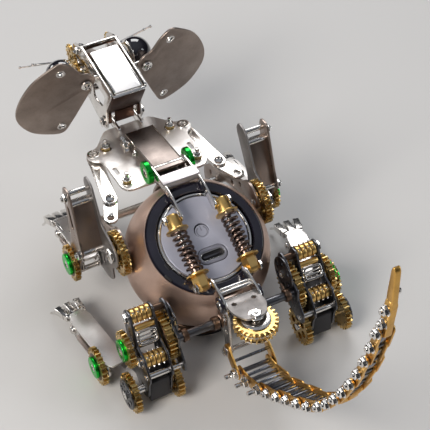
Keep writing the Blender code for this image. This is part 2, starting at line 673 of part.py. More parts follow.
def strut_spring():
    """A coil between the two flanges, its points worked out turn by turn."""
    gap = COIL_WIRE + CLEARANCE
    start = CUP_LENGTH - 0.3 + FLANGE_THICKNESS + gap
    end = STRUT_LENGTH - CUP_LENGTH + 0.3 - FLANGE_THICKNESS - gap
    per_turn = 6
    count = COIL_TURNS * per_turn
    curve = bpy.data.curves.new("coil", "CURVE")
    curve.dimensions = "3D"
    curve.bevel_depth = COIL_WIRE
    curve.bevel_resolution = 2
    curve.use_fill_caps = True
    spline = curve.splines.new("POLY")
    spline.points.add(count)
    for k, knot in enumerate(spline.points):
        angle = 2 * math.pi * k / per_turn
        knot.co = (COIL_RADIUS * math.cos(angle), COIL_RADIUS * math.sin(angle),
                   start + (end - start) * k / count, 1)
    item = bpy.data.objects.new("coil", curve)
    bpy.context.scene.collection.objects.link(item)
    return reshaped(item, strut_frame())


# ---------- fore legs ----------

def shoulder_arm():
    """Tapered plate beside the ball that carries the shoulder bolt."""
    outline = [(-17.0, 15.0), (-13.6, 13.8), (-11.8, 11.6), (1.5, 6.0), (16.1, -3.1), (18.7, -6.5), (18.1, -11.6),
               (14.9, -13.4), (11.9, -9.6), (0.2, 1.2), (-19.1, 6.2), (-23.3, 7.6), (-24.5, 10.6), (-21.9, 14.0)]
    lightening = [ring_points((FRONT - 4.7, MIDDLE + 6.4), 1.5), ring_points((FRONT - 14.3, MIDDLE + 10.6), 1.6),
                  hole_at(FRONT_AXLE + Vector((0, 8.2, -5.5)), 1.3)]
    arm = side_plate(outline, ARM_INSIDE, ARM_THICKNESS, lightening, (FRONT, MIDDLE))
    leg_face = FORE_LEG_X + SHEET + CLEARANCE
    bolt = cross_rod(SHOULDER, ARM_INSIDE + 0.4, leg_face + 1.2, 1.7)
    head = cross_rod(SHOULDER, leg_face, leg_face + 1.4, 3.0, 6)
    return combined(arm, [bolt, head])


def shoulder_gear():
    return side_gear(SHOULDER, ARM_OUTSIDE + CLEARANCE, SHOULDER_GEAR_THICKNESS, SHOULDER_TEETH,
                     1.7 + BORE_CLEARANCE)


def link_arm():
    """Two stacked dog-bone links from the neck plate's lug to the shoulder arm."""
    top = neck_height(NECK_MIDDLE.y) - PLATE_THICKNESS / 2 - CLEARANCE - 0.15
    lug = (17.6, NECK_MIDDLE.y - 0.4)
    knee = (SIDE - 4.4, FRONT - 0.9)
    end = (ARM_INSIDE - 0.2, FRONT - 8.8)
    long_link = plate(capsule(lug, knee, 2.6, 2.6), PLATE_THICKNESS,
                      Matrix.Translation((0, 0, top - PLATE_THICKNESS / 2)), [ring_points(lug, 1.2)])
    short_link = plate(capsule(knee, end, 2.6, 2.4), PLATE_THICKNESS,
                       Matrix.Translation((0, 0, top - 1.5 * PLATE_THICKNESS + 0.05)), [ring_points(end, 1.2)])
    rivet = rod((*knee, top - 2.4), (*knee, top + 0.8), 1.6, 10)
    return combined(long_link, [short_link, rivet])


def fore_leg():
    """Two upright plates with bars, a panel between them, turning on the shoulder bolt."""
    inner_outline = [(15.2, 19.5), (20.4, 19.9), (21.8, 16.6), (12.8, 0.6), (13.0, -8.0), (17.6, -10.0),
                     (18.4, -13.8), (15.8, -16.4), (12.0, -16.0), (4.0, -15.0), (0.4, -12.4), (1.0, -7.4),
                     (-4.0, -2.2), (-4.2, 2.0), (-1.2, 4.8), (3.4, 5.2), (8.2, 6.6)]
    outer_outline = [(14.8, 19.6), (19.8, 19.2), (20.2, 15.6), (16.2, 0.6), (18.4, -11.2), (18.2, -15.0),
                     (14.8, -16.8), (11.2, -16.5), (10.2, -11.4), (8.2, -5.4), (6.0, -2.4), (8.6, 1.6)]
    anchor = (SHOULDER.y, SHOULDER.z)
    ankle_bore = hole_at(FORE_ANKLE, ROD + BORE_CLEARANCE)
    inner = side_plate(inner_outline, FORE_LEG_X, SHEET,
                       [hole_at(SHOULDER, 1.7 + BORE_CLEARANCE), ankle_bore], anchor)
    outer = side_plate(outer_outline, FORE_OUTER_X, SHEET, [ankle_bore], anchor)
    top_bar = SHOULDER + Vector((0, 17.0, 15.8))
    low_bar = SHOULDER + Vector((0, 8.4, -3.6))
    ends = (FORE_LEG_X + 0.2, FORE_OUTER_X + SHEET + 1.2)
    panel_frame = plane((FORE_LEG_X + SHEET - 0.3, low_bar.y, low_bar.z), (1, 0, 0), top_bar - low_bar)
    panel = box((0, 0, -0.5), (FORE_LEG_INSIDE + 0.6, (top_bar - low_bar).length, 0.5), panel_frame)
    bars = [cross_rod(point, *ends, 1.5, 10) for point in (top_bar, low_bar)]
    return combined(inner, [outer, panel, *bars])


def fore_gear():
    """Gear and ring washer on the axle that is keyed to the paw."""
    thickness = GEAR_THICKNESS - 0.2
    face = FORE_GEAR_X + thickness
    gear = side_gear(FORE_ANKLE, FORE_GEAR_X, thickness, OUTER_TEETH)
    axle = spindle(FORE_ANKLE, [(FORE_LEG_X - 0.7, ROD), (face - 0.2, RING_WASHER),
                                (face + RING_WASHER_THICKNESS, ROD), (face + 1.4, 0)], 10)
    return combined(gear, [axle])


def paw(width, frame):
    """A folded channel with three pointed toes, in the frame of its ankle: Y forward, Z up."""
    half = width / 2
    wall = SHEET
    body = box((-half, -4.6, -3.6), (half, PAW_LENGTH, 2.9), frame)
    hollow = box((-half + wall, -6.0, -5.0), (half - wall, PAW_LENGTH + 2, 2.9 - wall), frame)
    bore = rod(frame @ Vector((-half - 2, 0, 0)), frame @ Vector((half + 2, 0, 0)), ROD + BORE_CLEARANCE + 0.2)
    channel = cut(body, [hollow, bore])
    root = PAW_LENGTH - 4.5
    tip = PAW_LENGTH + TOE_LENGTH
    outline = [(root, 2.5), (PAW_LENGTH + 1, 2.4), (PAW_LENGTH + 7, -0.6), (tip, -6.3), (PAW_LENGTH + 6, -3.4),
               (PAW_LENGTH, -1.2), (root, 0.6)]
    toes = []
    for splay, shift in ((-9, -1.0), (0, 0), (9, 1.0)):
        turn = Matrix.Translation((shift * (half - 1.4), 0, 0)) @ Matrix.Translation((0, root, 0)) \
            @ Matrix.Rotation(math.radians(-splay), 4, "Z") @ Matrix.Translation((0, -root, 0))
        lift = Matrix.Translation((0, 0, 0.02 * splay / 9))
        toes.append(plate(outline, 1.6, frame @ turn @ lift @ side_plane(0)))
    return combined(channel, toes)


def fore_paw():
    frame = Matrix.Translation((FORE_PAW_X, FORE_ANKLE.y, FORE_ANKLE.z)) \
        @ Matrix.Rotation(FORE_PAW_PITCH, 4, "X")
    return paw(FORE_PAW_WIDTH, frame)


# ---------- hind legs ----------

def hind_cage():
    """Inner plate, two core plates, heel block, drums and tie rods."""
    drum_high = CAGE + Vector((0, 3.5, 10.6))
    drum_low = CAGE + Vector((0, -6.5, -1.2))
    tie = CAGE + Vector((0, -10.5, -4.8))
    axle_bore = 1.5 + BORE_CLEARANCE
    anchor = (CAGE.y, CAGE.z)
    inner_outline = [(0.9, 12.8), (5.3, 13.0), (6.3, 9.2), (4.1, -2.0), (0.9, -4.6), (-9.5, -7.5), (-12.9, -6.2),
                     (-12.5, -2.6), (-8.5, 1.6), (-8.4, 5.8), (-4.1, 6.8)]
    inner = side_plate(inner_outline, CAGE_INNER_X, SHEET, [hole_at(CAGE, axle_bore)], anchor)
    to_heel = (HEEL.y - CAGE.y, HEEL.z - CAGE.z)
    to_ankle = (HIND_ANKLE.y - CAGE.y, HIND_ANKLE.z - CAGE.z)
    spine = [(to_heel[0] - 3.2, to_heel[1] - 1.8), (to_heel[0] - 3.8, to_heel[1] + 1.2), (-11.6, -8.2),
             (-13.2, -4.6), (-11.4, -1.8), (-8.4, 2.0), (-3.8, 3.4), (0.4, 10.6), (1.6, 13.6), (5.8, 12.8),
             (6.6, 9.0), (3.4, -1.6)]
    core_outline = spine + [(0.6, -6.0), (to_heel[0] + 3.4, to_heel[1] - 2.2), (to_heel[0] + 0.4, to_heel[1] - 3.6)]
    outer_outline = spine + [(to_ankle[0] + 2.6, to_ankle[1] + 2.8), (to_ankle[0] + 3.2, to_ankle[1] - 1.2),
                             (to_ankle[0] + 0.4, to_ankle[1] - 3.2), (to_ankle[0] - 2.8, to_ankle[1] - 2.2),
                             (to_heel[0] + 6.4, to_heel[1] + 0.6), (to_heel[0] + 2.4, to_heel[1] - 3.2),
                             (to_heel[0] - 0.6, to_heel[1] - 3.6)]
    heel_bore = hole_at(HEEL, ROD + BORE_CLEARANCE)
    core = side_plate(core_outline, CORE_INNER_X, SHEET, [hole_at(CAGE, axle_bore), heel_bore], anchor)
    outer = side_plate(outer_outline, CORE_OUTER_X, SHEET,
                       [hole_at(CAGE, axle_bore), heel_bore, hole_at(HIND_ANKLE, ROD + BORE_CLEARANCE)], anchor)
    block_outline = [(3.4, -4.0), (3.4, 5.0), (-3.4, 5.0), (-3.4, -4.0)]
    block = side_plate(block_outline, CORE_INNER_X + SHEET - 0.3, CAGE_INSIDE + 0.6,
                       [hole_at(HEEL, ROD + BORE_CLEARANCE + 0.02)], (HEEL.y, HEEL.z))
    outside = CORE_OUTER_X + SHEET
    drum = [(CORE_INNER_X + 1.4, DRUM_RADIUS), (CORE_OUTER_X - 0.6, ROD), (outside + 1.2, 0)]
    drums = [spindle(drum_high, [(CAGE_INNER_X - 0.6, ROD)] + drum, 10),
             spindle(drum_low, [(CORE_INNER_X - 0.3, ROD)] + drum, 10),
             cross_rod(tie, CAGE_INNER_X - 0.5, outside + 0.4, 1.0, 6)]
    return combined(inner, [core, outer, block, *drums])


def hind_gear():
    """Large inner gear and outer gear on one axle through the cage."""
    line = math.atan2(HEEL.z - CAGE.z, HEEL.y - CAGE.y)
    large = side_gear(CAGE, HIND_GEAR_X, HIND_GEAR_THICKNESS, LARGE_TEETH, phase=line)
    outer = side_gear(CAGE, HIND_OUTER_GEAR_X, GEAR_THICKNESS, OUTER_TEETH)
    face = HIND_OUTER_GEAR_X + GEAR_THICKNESS
    axle = spindle(CAGE, [(CAGE_INNER_X - 1.3, 2.4), (CAGE_INNER_X - CLEARANCE, 1.5), (face - 0.1, RING_WASHER),
                          (face + RING_WASHER_THICKNESS - 0.1, 1.5), (face + 1.4, 0)], 10)
    return combined(large, [outer, axle])


def heel_wheel():
    """Two gears on the heel axle; the inner one meshes with the large gear."""
    line = math.atan2(CAGE.z - HEEL.z, CAGE.y - HEEL.y)
    phase = line + math.pi / SMALL_TEETH
    inner = side_gear(HEEL, HIND_GEAR_X + 0.3, HIND_GEAR_THICKNESS - 0.3, SMALL_TEETH, phase=phase)
    outer = side_gear(HEEL, HEEL_OUTER_GEAR_X, GEAR_THICKNESS, SMALL_TEETH, phase=phase)
    face = HEEL_OUTER_GEAR_X + GEAR_THICKNESS
    axle = spindle(HEEL, [(HIND_GEAR_X - 0.6, ROD), (face + 0.4, HEEL_DISC_RADIUS), (face + 1.1, ROD),
                          (face + 1.7, 0)], 12)
    return combined(inner, [outer, axle])


def hind_foot():
    frame = Matrix.Translation((HIND_PAW_X, HIND_ANKLE.y, HIND_ANKLE.z)) \
        @ Matrix.Rotation(-HIND_SPLAY, 4, "Z")
    return paw(HIND_PAW_WIDTH, frame)


def ankle_gear():
    gear = side_gear(HIND_ANKLE, ANKLE_GEAR_X, GEAR_THICKNESS, ANKLE_TEETH)
    face = ANKLE_GEAR_X + GEAR_THICKNESS
    axle = spindle(HIND_ANKLE, [(CORE_OUTER_X - 0.8, ROD), (face - 0.1, RING_WASHER),
                                (face + RING_WASHER_THICKNESS - 0.1, ROD), (face + 1.4, 0)], 10)
    return combined(gear, [axle])


def hip_gear():
    """Two gear layers on a hub with a disc below, free on the bolt of the rear frame."""
    bore = ROD - 0.1 + BORE_CLEARANCE
    layers = []
    for height, phase in ((0.75, 0.0), (2.95, math.pi / HIP_TEETH)):
        layers.append(plate(gear_outline(HIP_TEETH, phase), 1.7,
                            Matrix.Translation(HIP_GEAR + Vector((0, 0, height))),
                            [ring_points((0, 0), bore)]))
    hub = plate(ring_points((0, 0), 4.0, 10), 4.2, Matrix.Translation(HIP_GEAR + Vector((0, 0, 0.4))),
                [ring_points((0, 0), bore + 0.02)])
    disc = plate(ring_points((0, 0), 5.6, 16), 0.7, Matrix.Translation(HIP_GEAR + Vector((0, 0, -1.25))),
                 [ring_points((0, 0), bore + 0.01)])
    return combined(hub, [layers[0], layers[1], disc])


# ---------- head ----------

HEAD_TOP_REAR = HEAD_PIVOT + Vector((0, -9.0, 18.3))
HEAD_TOP_FRONT = HEAD_PIVOT + Vector((0, 18.6, 21.7))


def ear_frame():
    """Origin at the root bolt, W along the ear's normal, U roughly along X, V downwards."""
    u = (Vector((1, 0, 0)) - EAR_NORMAL * EAR_NORMAL.x).normalized()
    return plane(EAR_ROOT, u, EAR_NORMAL.cross(u))


def head_frame():
    """Side plates, rear wall, cross bars, and the stays and bolts that carry the ears."""
    outline = [(-9.0, 18.4), (18.6, 21.8), (25.4, 18.3), (27.9, 10.8), (23.4, 4.3), (11.4, -0.2), (3.4, -2.8),
               (0.0, -3.2), (-2.3, -2.0), (-2.7, 1.4), (-2.0, 5.8)]
    anchor = (HEAD_PIVOT.y, HEAD_PIVOT.z)
    bore = hole_at(HEAD_PIVOT, ROD + BORE_CLEARANCE)
    sides = [side_plate(outline, x, SHEET, [bore], anchor)
             for x in (HEAD_HALF_WIDTH - SHEET, -HEAD_HALF_WIDTH)]
    low = HEAD_PIVOT + Vector((0, -1.9, 5.0))
    high = HEAD_TOP_REAR + Vector((0, 0.35, -0.6))
    inside = HEAD_HALF_WIDTH - SHEET + 0.3
    wall_frame = plane((-inside, low.y, low.z), (1, 0, 0), high - low)
    wall = box((0, 0, -0.4), (2 * inside, (high - low).length, 0.4), wall_frame)
    cross = box((-inside, HEAD_TOP_FRONT.y - 1.6, HEAD_TOP_FRONT.z - 2.4),
                (inside, HEAD_TOP_FRONT.y - 0.4, HEAD_TOP_FRONT.z - 0.3))
    extras = [sides[1], wall, cross, cross_rod(HEAD_PIVOT + Vector((0, 14.0, 4.6)), -inside - 1.2, inside + 1.2, ROD)]
    for side in (1, -1):
        mirror = Matrix.Scale(side, 4, (1, 0, 0)) @ ear_frame()
        extras.append(box((-5.3, -2.0, EAR_THICKNESS / 2 + CLEARANCE), (1.9, 2.0, EAR_THICKNESS / 2 + 1.1), mirror))
        extras.append(rod(mirror @ Vector((0, 0, 1.0)), mirror @ Vector((0, 0, -1.6)), 1.0, 10))
        extras.append(rod(mirror @ Vector((0, 0, -EAR_THICKNESS / 2 - CLEARANCE)), mirror @ Vector((0, 0, -1.9)), 2.1, 10))
    return combined(sides[0], extras)


def head_box():
    """Bright folded top of the head between the side plates."""
    rear = HEAD_TOP_REAR + Vector((0, 0.9, 0.3))
    front = HEAD_TOP_FRONT + Vector((0, -3.8, 0))
    outline = [(rear.y, rear.z), (front.y, front.z), (front.y, front.z - 4.2), (rear.y + 1.9, rear.z - 4.2)]
    block = plate(outline, 2 * HEAD_TOP_HALF_WIDTH, side_plane(0))
    inner = [(rear.y - 1, rear.z - SHEET - 0.12), (front.y + 1, front.z - SHEET + 0.12), (front.y + 1, front.z - 8),
             (rear.y - 1, rear.z - 8)]
    return cut(block, [plate(inner, 2 * (HEAD_TOP_HALF_WIDTH - SHEET), side_plane(0))])


def ear():
    """Rounded ear plate, drawn in its own tilted plane about the root bolt."""
    rim = [(-1.6, 4.6), (1.6, 12.4), (4.8, 19.8), (8.0, 25.2), (13.8, 24.6), (20.6, 20.8), (25.4, 12.8), (25.0, 4.2),
           (20.4, -5.6), (13.8, -11.8), (9.6, -14.0), (5.6, -11.6), (1.8, -6.4), (-1.4, -5.0), (-3.3, -1.7)]
    holes = [ring_points((0, 0), 1.0 + BORE_CLEARANCE), ring_points((9.4, -8.9), 1.4),
             ring_points((8.8, 21.2), 1.4)]
    return plate(rim, EAR_THICKNESS, ear_frame(), holes, smooth=2)


def eye():
    """Glossy dome on a stem from the head's side plate."""
    base = Vector((HEAD_HALF_WIDTH + CLEARANCE, EYE_CENTRE.y, EYE_CENTRE.z))
    frame = plane(EYE_CENTRE, (0, 1, 0), (0, 0, 1))
    dome = turned([(0, EYE_RADIUS)] + sphere_arc(EYE_RADIUS, math.pi / 2, -math.radians(20), 5)[1:]
                  + [(EYE_RADIUS * 0.7, -EYE_RADIUS * 0.52), (0, -EYE_RADIUS * 0.52)], frame, 16)
    return combined(dome, [rod(base, EYE_CENTRE, 2.2)])


def snout():
    """Tapering muzzle with a ball nose, held between the side plates."""
    start = HEAD_PIVOT + Vector((0, 17.0, 8.6))
    tip = start + Vector((0, SNOUT_LENGTH, -5.4))
    along = (tip - start).normalized()
    frame = plane(start, (1, 0, 0), along.cross(Vector((1, 0, 0))))
    length = (tip - start).length
    profile = [(0, 0), (SNOUT_RADIUS, 0), (SNOUT_RADIUS, 4.5), (SNOUT_RADIUS * 0.72, length * 0.55),
               (1.6, length * 0.86), (2.4, length * 0.9), (2.6, length * 0.95), (1.6, length * 1.0), (0, length * 1.02)]
    return turned(profile, frame, 14)


# ---------- tail ----------

def tail_half_width(index):
    """Outer half width of a tail link; each nests inside the one before."""
    return TAIL_OUTER - index * (TAIL_PLATE + CLEARANCE) - (0.4 if index > 1 else 0)


def tail_link(index):
    """A pair of side plates with spacer pins; the pin at its far end carries the next link."""
    start, end = TAIL_HINGES[index], TAIL_HINGES[index + 1]
    start_radius, end_radius = (2.5 - 0.2 * index, 2.4 - 0.2 * index)
    outer = tail_half_width(index)
    inside = outer - TAIL_PLATE
    bore = (TAIL_PIN + 0.2 if index == 0 else TAIL_PIN) + BORE_CLEARANCE
    outline = capsule((start.y, start.z), (end.y, end.z), start_radius, end_radius, 3)
    plates = [side_plate(outline, x, TAIL_PLATE, [hole_at(start, bore)]) for x in (inside, -outer)]
    extras = [plates[1], cross_rod(end, -outer - 0.7, outer + 0.7, TAIL_PIN, 6)]
    if (end - start).length > 9:
        extras.append(cross_rod(start.lerp(end, 0.5), -inside - 0.3, inside + 0.3, 1.1, 6))
    return combined(plates[0], extras)


def tail_tip(index):
    """Pointed solid blade at the end of the tail."""
    start, end = TAIL_HINGES[index], TAIL_HINGES[index + 1]
    half = tail_half_width(index)
    outline = capsule((start.y, start.z), (end.y, end.z), 1.6, 0.3, 4)
    return plate(outline, 2 * half, side_plane(0), [hole_at(start, TAIL_PIN + BORE_CLEARANCE)])


# ---------- the whole mouse ----------

def build():
    clear_scene()
    mouse = Assembly("clockwork_mouse")
    mouse.add("speaker_shell", speaker_shell(), "copper_shell")
    mouse.add("speaker_bezel", speaker_bezel(), "black_ring")
    mouse.add("speaker_cap", speaker_cap(), "grey_cap")
    button_seat = CAP_FRAME @ Vector((0, BUTTON_FORWARD, CAP_TOP))
    mouse.add("power_button", power_button(), "grey_cap", button_seat)
    mouse.add("usb_socket", usb_socket(), "nickel")
    mouse.add("circuit_board", circuit_board(), "circuit_green")
    mouse.add("driver_unit", driver_unit(), "black_ring")
    mouse.add("battery_cell", battery_cell(), "battery_wrap")
    mouse.add("belly_base", belly_base(), "bronze_base")
    foot = strap_foot_angle()
    mouse.add("front_strap", strap(-foot, 36), "dark_nickel")
    mouse.add("rear_strap", strap(180 + foot, 172), "dark_nickel")
    mouse.add("spring_yoke", spring_yoke(), "nickel")
    mouse.add("rear_frame", rear_frame(), "nickel")
    mouse.add("front_axle", front_axle(), "nickel")
    mouse.add("neck_plate", neck_plate(), "nickel")
    mouse.add("neck_box", neck_box(), "nickel")
    mouse.add_pair("strut_upper", strut_upper(), "brass")
    mouse.add_pair("strut_lower", strut_lower(), "brass")
    mouse.add_pair("strut_spring", strut_spring(), "spring_steel")
    mouse.add_pair("shoulder_arm", shoulder_arm(), "dark_nickel")
    mouse.add_pair("shoulder_gear", shoulder_gear(), "brass", SHOULDER + Vector((ARM_OUTSIDE, 0, 0)))
    mouse.add_pair("link_arm", link_arm(), "nickel")
    mouse.add_pair("fore_leg", fore_leg(), "nickel", SHOULDER + Vector((FORE_LEG_X, 0, 0)))
    mouse.add_pair("fore_gear", fore_gear(), "brass", FORE_ANKLE + Vector((FORE_GEAR_X, 0, 0)))
    mouse.add_pair("fore_paw", fore_paw(), "nickel", FORE_ANKLE + Vector((FORE_PAW_X, 0, 0)))
    mouse.add_pair("hind_cage", hind_cage(), "nickel")
    mouse.add_pair("hind_gear", hind_gear(), "brass", CAGE + Vector((HIND_GEAR_X, 0, 0)))
    mouse.add_pair("heel_wheel", heel_wheel(), "brass", HEEL + Vector((HEEL_OUTER_GEAR_X, 0, 0)))
    mouse.add_pair("hind_foot", hind_foot(), "nickel", HIND_ANKLE + Vector((HIND_PAW_X, 0, 0)))
    mouse.add_pair("ankle_gear", ankle_gear(), "brass", HIND_ANKLE + Vector((ANKLE_GEAR_X, 0, 0)))
    mouse.add("hip_gear", hip_gear(), "brass", HIP_GEAR)
    mouse.add("head_frame", head_frame(), "nickel", HEAD_PIVOT)
    mouse.add("head_box", head_box(), "nickel", HEAD_PIVOT)
    mouse.add("snout", snout(), "dark_nickel", HEAD_PIVOT)
    mouse.add_pair("ear", ear(), "dark_nickel", EAR_ROOT)
    mouse.add_pair("eye", eye(), "black_gloss", EYE_CENTRE)
    last = len(TAIL_HINGES) - 2
    for index in range(last):
        mouse.add(f"tail_link_{index + 1}", tail_link(index), "gold", TAIL_HINGES[index])
    mouse.add("tail_tip", tail_tip(last), "gold", TAIL_HINGES[last])


build()
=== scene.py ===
# %% [markdown]
# # Clockwork mouse
# A toy mouse of bolted sheet metal, gears and struts, built round a ball loudspeaker.
# The frame holds every solid and joint at its real place. This script gives each of
# them its finished shape and surface, so it only asks the frame where things are.

# %% Load the frame
import json
import math

import bmesh
import bpy
from mathutils import Matrix, Vector


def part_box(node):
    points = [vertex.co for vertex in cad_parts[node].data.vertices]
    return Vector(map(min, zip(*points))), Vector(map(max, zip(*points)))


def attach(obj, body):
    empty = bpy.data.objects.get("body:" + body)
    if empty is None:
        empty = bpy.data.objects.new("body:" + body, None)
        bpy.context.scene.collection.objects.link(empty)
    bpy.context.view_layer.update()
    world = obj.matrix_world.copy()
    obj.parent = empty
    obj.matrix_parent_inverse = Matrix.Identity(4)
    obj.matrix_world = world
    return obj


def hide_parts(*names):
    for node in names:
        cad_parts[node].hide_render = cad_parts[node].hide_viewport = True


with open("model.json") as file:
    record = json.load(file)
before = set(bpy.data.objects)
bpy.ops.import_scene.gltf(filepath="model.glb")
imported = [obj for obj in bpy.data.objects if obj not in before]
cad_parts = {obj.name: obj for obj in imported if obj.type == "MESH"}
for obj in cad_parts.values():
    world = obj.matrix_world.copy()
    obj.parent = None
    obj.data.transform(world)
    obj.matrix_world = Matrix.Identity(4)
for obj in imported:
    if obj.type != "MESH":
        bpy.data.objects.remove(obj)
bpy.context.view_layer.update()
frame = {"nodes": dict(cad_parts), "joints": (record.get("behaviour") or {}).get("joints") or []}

MM = 0.001

# %% [markdown]
# ## Anchors
# Each joint of the frame lies on a real bolt or axle, so the joints give most of the
# places that the pieces hang on. The others come from the corners of the solids.
# Everything below is worked out in millimetres.

# %% Anchors from joints and corners
JOINTS = {joint["name"]: joint for joint in frame["joints"]}


def pivot(joint):
    """The point of a joint, in millimetres."""
    return Vector(JOINTS[joint]["pos_m"]) / MM


def corners(node):
    """The lowest and highest corner of a solid, in millimetres."""
    low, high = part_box(node)
    return low / MM, high / MM


def side_view(point):
    """The same point on the mouse's middle plane."""
    return Vector((0, point.y, point.z))


SHOULDER = side_view(pivot("fore_leg_right_swing"))
FORE_ANKLE = side_view(pivot("fore_paw_right_swing"))
CAGE = side_view(pivot("hind_gear_right_spin"))
HEEL = side_view(pivot("heel_wheel_right_spin"))
HIND_ANKLE = side_view(pivot("hind_foot_right_swing"))
HEAD_PIVOT = side_view(pivot("head_pitch"))
HIP = pivot("hip_gear_spin")
EAR_ROOT = pivot("ear_right_swivel")
EAR_NORMAL = Vector(JOINTS["ear_right_swivel"]["axis"]).normalized()
TAIL = [pivot(f"tail_hinge_{k}") for k in range(1, 8)]
print("shoulder", SHOULDER, "cage", CAGE, "head", HEAD_PIVOT)

# %% The ball's centre, radius and tilt
shell_low, shell_high = corners("speaker_shell")
BALL_RADIUS = (shell_high.x - shell_low.x) / 2
MIDDLE = shell_low.z + BALL_RADIUS
CAP_NORMAL = -Vector(JOINTS["power_button_press"]["axis"]).normalized()
CAP_TILT = math.atan2(-CAP_NORMAL.y, CAP_NORMAL.z)
CAP_FRAME = Matrix.Translation((0, 0, MIDDLE)) @ Matrix.Rotation(CAP_TILT, 4, "X")
print("ball", round(BALL_RADIUS, 2), "tilt", round(math.degrees(CAP_TILT), 1))

# %% [markdown]
# ## Floor, light and camera
# A plain pale sweep and three large soft lamps are enough for polished metal, as long
# as the room above is darker than the lamps: bright metal looks bright only where it
# mirrors something brighter than its surroundings. The camera looks down from behind
# the left hip.

# %% Floor and sky
def stage_floor():
    data = bmesh.new()
    bmesh.ops.create_grid(data, x_segments=1, y_segments=1, size=3)
    mesh = bpy.data.meshes.new("floor")
    data.to_mesh(mesh)
    data.free()
    floor = bpy.data.objects.new("floor", mesh)
    bpy.context.scene.collection.objects.link(floor)
    finish = bpy.data.materials.new("floor_paint")
    finish.use_nodes = True
    shader = finish.node_tree.nodes["Principled BSDF"]
    shader.inputs["Base Color"].default_value = (0.56, 0.55, 0.54, 1)
    shader.inputs["Roughness"].default_value = 0.6
    mesh.materials.append(finish)
    return floor


def sky(strength):
    world = bpy.data.worlds.new("studio")
    world.use_nodes = True
    tree = world.node_tree
    place = tree.nodes.new("ShaderNodeTexCoord")
    height = tree.nodes.new("ShaderNodeSeparateXYZ")
    ramp = tree.nodes.new("ShaderNodeValToRGB")
    tree.links.new(place.outputs["Generated"], height.inputs[0])
    tree.links.new(height.outputs["Z"], ramp.inputs["Fac"])
    ramp.color_ramp.elements[0].position = 0.0
    ramp.color_ramp.elements[0].color = (0.02, 0.022, 0.026, 1)
    ramp.color_ramp.elements[1].position = 1.0
    ramp.color_ramp.elements[1].color = (0.30, 0.32, 0.36, 1)
    middle = ramp.color_ramp.elements.new(0.45)
    middle.color = (0.035, 0.037, 0.042, 1)
    background = tree.nodes["Background"]
    tree.links.new(ramp.outputs["Color"], background.inputs["Color"])
    background.inputs["Strength"].default_value = strength
    bpy.context.scene.world = world
    bpy.context.scene.view_settings.view_transform = "Standard"
    return world


print(stage_floor().name, sky(1.0).name)


# %% Soft lamps
def softbox(name, place, size, power, colour=(1, 1, 1)):
    lamp = bpy.data.lights.new(name, "AREA")
    lamp.shape = "RECTANGLE"
    lamp.size, lamp.size_y = size
    lamp.energy = power
    lamp.color = colour
    holder = bpy.data.objects.new(name, lamp)
    aim = Vector((0, 0, 0.04)) - Vector(place)
    holder.matrix_world = Matrix.Translation(place) @ aim.to_track_quat("-Z", "Y").to_matrix().to_4x4()
    bpy.context.scene.collection.objects.link(holder)
    return holder


LAMPS = [softbox("key_lamp", (-0.75, -0.35, 0.75), (0.5, 0.5), 11, (1, 0.96, 0.91)),
         softbox("top_lamp", (0.36, 0.76, 0.78), (0.6, 0.45), 5.2),
         softbox("fill_lamp", (0.85, -0.55, 0.45), (0.25, 0.7), 2.4, (0.9, 0.95, 1)),
         softbox("back_lamp", (-0.5, 0.95, 0.4), (0.5, 0.2), 2)]
print(len(LAMPS), "lamps")

# %% Camera
VIEW_AZIMUTH = math.radians(-26.30)
VIEW_ELEVATION = math.radians(45)
VIEW_ROLL = math.radians(-0.82)
VIEW_TARGET = Vector((-11.7, -38.1, 84.2))
VIEW_DISTANCE = 456
LENS = 127.4


def place_camera():
    forward = Vector((-math.sin(VIEW_AZIMUTH) * math.cos(VIEW_ELEVATION),
                      math.cos(VIEW_AZIMUTH) * math.cos(VIEW_ELEVATION), -math.sin(VIEW_ELEVATION)))
    right = Vector((math.cos(VIEW_AZIMUTH), math.sin(VIEW_AZIMUTH), 0))
    up = right.cross(forward)
    turned_right = right * math.cos(VIEW_ROLL) + up * math.sin(VIEW_ROLL)
    turned_up = up * math.cos(VIEW_ROLL) - right * math.sin(VIEW_ROLL)
    camera = bpy.data.cameras.new("camera")
    camera.sensor_width = 36
    camera.lens = LENS
    camera.clip_start = 0.01
    holder = bpy.data.objects.new("camera", camera)
    place = (VIEW_TARGET - forward * VIEW_DISTANCE) * MM
    axes = Matrix((turned_right, turned_up, -forward)).transposed().to_4x4()
    holder.matrix_world = Matrix.Translation(place) @ axes
    bpy.context.scene.collection.objects.link(holder)
    bpy.context.scene.camera = holder
    return holder


print("camera at", tuple(round(c, 3) for c in place_camera().location))

# %% [markdown]
# ## Surfaces
# The finishes are sums of a few noise patterns. Writing those sums as node links is
# hard to read, so a small class wraps a socket and lets Python's own + and * stand
# for Math nodes. Every other node comes from one method that sets its options first.

# %% A socket that can be used in sums
class Value:
    """A socket of a material, with the operators that its patterns need."""

    def __init__(self, paint, socket):
        self.paint, self.socket = paint, socket

    def math(self, operation, first, second):
        return self.paint.node("ShaderNodeMath", {"operation": operation}, {0: first, 1: second})

    def __add__(self, other):
        return self.math("ADD", self, other)

    def __mul__(self, other):
        return self.math("MULTIPLY", self, other)

    __radd__ = __add__
    __rmul__ = __mul__


